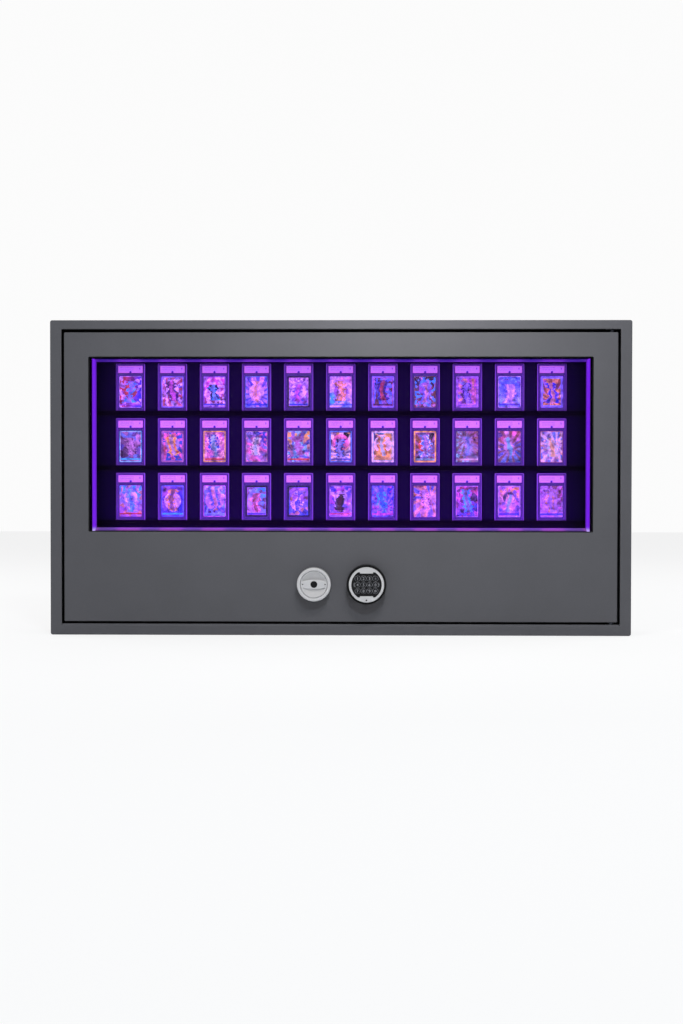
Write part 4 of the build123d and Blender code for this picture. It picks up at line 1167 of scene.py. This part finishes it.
# --- Turn handle ---
# Fixed ring and a dished grip turned from solid, satin plated, with a black hub cap. The
# tool marks run round the handle's axis.
handle_axis = middle_of(*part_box("handle_escutcheon"))
plastic_colour = (0.006, 0.006, 0.0065, 1.0)
turned_pitch = 900.0
turned_relief = 0.12
grip_screw_from_axis = 0.031
grip_screw_size = 0.44
grip_dimple_depth = 0.0025
grip_front = 0.174
grip_floor = grip_front - grip_dimple_depth

round_marks, given, gives = new_group("turned_marks", [
    ("Colour", "Color", silver_colour), ("Axis", "Vector", (0.0, 0.0, 0.0)),
    ("Pitch", "Float", turned_pitch), ("Roughness", "Float", 0.34)])
centred = vector_maths("SUBTRACT", object_place(round_marks), given["Axis"])
flattened = vector_maths("MULTIPLY", centred, (1.0, 0.0, 1.0))
from_axis = vector_maths("LENGTH", flattened)["Value"]
rings = noise_along(from_axis * given["Pitch"])
ringed = rings - 0.5
filmy = noise(centred, 40.0, 5.0) - 0.5
shade = filmy * 0.12 + ringed * 0.10 + 1.0
hand_out(gives, colour=scaled(given["Colour"], shade), height=rings,
         roughness=ringed * 0.12 + filmy * 0.15 + given["Roughness"])


def satin_turned(name, axis, roughness):
    """Satin plated metal with fine marks round an axis along Y."""
    material, tree = new_material(name)
    cut = use_group(tree, round_marks, colour=silver_colour, axis=(axis[0], 0.0, axis[1]),
                    pitch=turned_pitch, roughness=roughness)
    skinned(tree, cut, turned_relief, tool_mark_depth, metallic=1.0)
    return material


satin_handle = satin_turned("satin_handle", handle_axis, roughness=0.36)
black_plastic = moulded_material(
    "black_plastic", plastic_colour, grain=1500.0, roughness=0.42, bloom=0.3, relief=0.15)
finish_nodes(satin_handle, "handle_escutcheon", "handle_rotor")
finish_nodes(black_plastic, "handle_hub_cap")

grip_screws = make_screws("grip_screws", screw_pair, grip_screw_size,
                          start=(handle_axis[0] - grip_screw_from_axis, -grip_floor, handle_axis[1]),
                          end=(handle_axis[0] + grip_screw_from_axis, -grip_floor, handle_axis[1]))
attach(grip_screws, "handle")

# --- Keypad housing ---
# Black moulded base with the battery drawer underneath, and a satin plated plate round a black
# inlay. A rubber lead runs from the base to the lock.
keypad_axis = middle_of(*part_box("keypad_faceplate"))
inlay_colour = (0.007, 0.007, 0.008, 1.0)

satin_keypad = satin_turned("satin_keypad", keypad_axis, roughness=0.38)
inlay_plastic = moulded_material(
    "inlay_plastic", inlay_colour, grain=1800.0, roughness=0.36, bloom=0.3, relief=0.1)
finish_nodes(satin_keypad, "keypad_faceplate")
finish_nodes(black_plastic, "keypad_base", "battery_drawer")
finish_nodes(rubber, "keypad_cable")
finish_nodes(inlay_plastic, "keypad_panel")

# --- Battery ---
# Nine-volt block in a steel can with a plain printed sleeve, dark below and copper coloured
# above. It stands in the drawer under the keypad.
sleeve_dark = (0.018, 0.018, 0.020, 1.0)
sleeve_copper = (0.42, 0.20, 0.07, 1.0)
sleeve_change = 0.74
dent_scale = 260.0
dent_depth = 0.0002
battery_low, battery_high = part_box("battery")

battery_can, tree = new_material("battery_can")
position = object_place(tree)
fraction = remapped(separated(position)["Z"], battery_low.z, battery_high.z)
dents = noise(position, dent_scale, 4.0)
printed = mixed(fraction > sleeve_change, sleeve_dark, sleeve_copper)
surface(tree, base_color=scaled(printed, dents * 0.35 + 0.82), roughness=dents * 0.2 + 0.25,
        metallic=0.6, normal=bumped(dents, 0.15, dent_depth))
finish_nodes(battery_can, "battery")

# --- Keypad print ---
# Light grey ink on the inlay: a ring round each key and a bracket left and right of the
# middle row. It stands a little proud of the plastic.
ink_grey = (0.26, 0.26, 0.28)
ink_grain = 900.0
ink_relief_depth = 0.0001
ink_depth = 0.00006
key_ring_outer = 0.0079
key_ring_inner = 0.0074
key_ring_steps = 40
bracket_radius = 0.014
bracket_from_axis = 0.0345
bracket_width = 0.0011
bracket_half_angle = 0.42
bracket_steps = 10
inlay_recess = 0.0005
inlay_front = -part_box("keypad_panel")[0].y - inlay_recess
key_count = 12

printed_ink, tree = new_material("printed_ink")
coverage = noise(object_place(tree), ink_grain, 3.0)
surface(tree, base_color=scaled(ink_grey, coverage * 0.4 + 0.8), roughness=0.5,
        normal=bumped(coverage, 0.1, ink_relief_depth))

key_places = []
for key_number in range(1, key_count + 1):
    key_low, key_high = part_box("key_" + str(key_number))
    key_places.append((*middle_of(key_low, key_high), -key_low.y))


def printed_arc(made, centre, radius_from, radius_to, angle_from, angle_to, steps):
    """Flat raised arc of ink. A full turn closes on itself."""
    full = angle_to - angle_from > 2 * math.pi - 0.001
    section = ((radius_from, inlay_front), (radius_from, inlay_front + ink_depth),
               (radius_to, inlay_front + ink_depth), (radius_to, inlay_front))
    rings = []
    for step in range(steps + (0 if full else 1)):
        angle = angle_from + (angle_to - angle_from) * step / steps
        across, up = math.cos(angle), math.sin(angle)
        rings.append([made.verts.new((centre[0] + radius * across, -depth, centre[1] + radius * up))
                      for radius, depth in section])
    walls(made, rings + rings[:1] if full else rings)
    if not full:
        made.faces.new(rings[0])
        made.faces.new(rings[-1])


made = bmesh.new()
for x, z, key_front in key_places:
    printed_arc(made, (x, z), key_ring_inner, key_ring_outer, 0.0, 2 * math.pi, key_ring_steps)
for side, middle_angle in ((-1, math.pi), (1, 0.0)):
    bracket_centre = (keypad_axis[0] + side * (bracket_from_axis - bracket_radius), keypad_axis[1])
    printed_arc(made, bracket_centre, bracket_radius - bracket_width / 2, bracket_radius + bracket_width / 2,
                middle_angle - bracket_half_angle, middle_angle + bracket_half_angle, bracket_steps)
keypad_print = link_object("keypad_print", finished_mesh("keypad_print", made), printed_ink)
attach(keypad_print, "door")

# --- Keypad keys ---
# Twelve soft rubber keys, moulded in one colour. The crown of each carries a light numeral or
# sign in the same ink as the rings.
key_colour = (0.016, 0.016, 0.018, 1.0)
key_rubber = moulded_material(
    "key_rubber", key_colour, grain=1400.0, roughness=0.5, bloom=0.3, relief=0.15)
numeral_height = 0.0082
size_per_height = 1.38
numeral_depth = 0.00012
numerals = ("1", "2", "3", "*", "4", "5", "6", "0", "7", "8", "9", "#")

for key_number, (numeral, (x, z, key_front)) in enumerate(zip(numerals, key_places), start=1):
    key_name = "key_" + str(key_number)
    finish_nodes(key_rubber, key_name)
    letter_curve = bpy.data.curves.new(key_name + "_numeral", "FONT")
    letter_curve.body = numeral
    letter_curve.size = numeral_height * size_per_height
    letter_curve.align_x = "CENTER"
    letter_curve.extrude = numeral_depth / 2
    letter_curve.resolution_u = 3
    letter = link_object(key_name + "_text", letter_curve)
    graph = bpy.context.evaluated_depsgraph_get()
    numeral_mesh = bpy.data.meshes.new_from_object(letter.evaluated_get(graph))
    bpy.data.objects.remove(letter)
    heights = [vertex.co.y for vertex in numeral_mesh.vertices]
    widths = [vertex.co.x for vertex in numeral_mesh.vertices]
    middle = ((min(widths) + max(widths)) / 2, (min(heights) + max(heights)) / 2)
    for vertex in numeral_mesh.vertices:
        across, up, out = vertex.co
        vertex.co = (x + across - middle[0], -(key_front + out), z + up - middle[1])
    numeral_mesh.update()
    printed = link_object(key_name + "_numeral", numeral_mesh, printed_ink)
    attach(printed, "keypad_key_" + str(key_number))
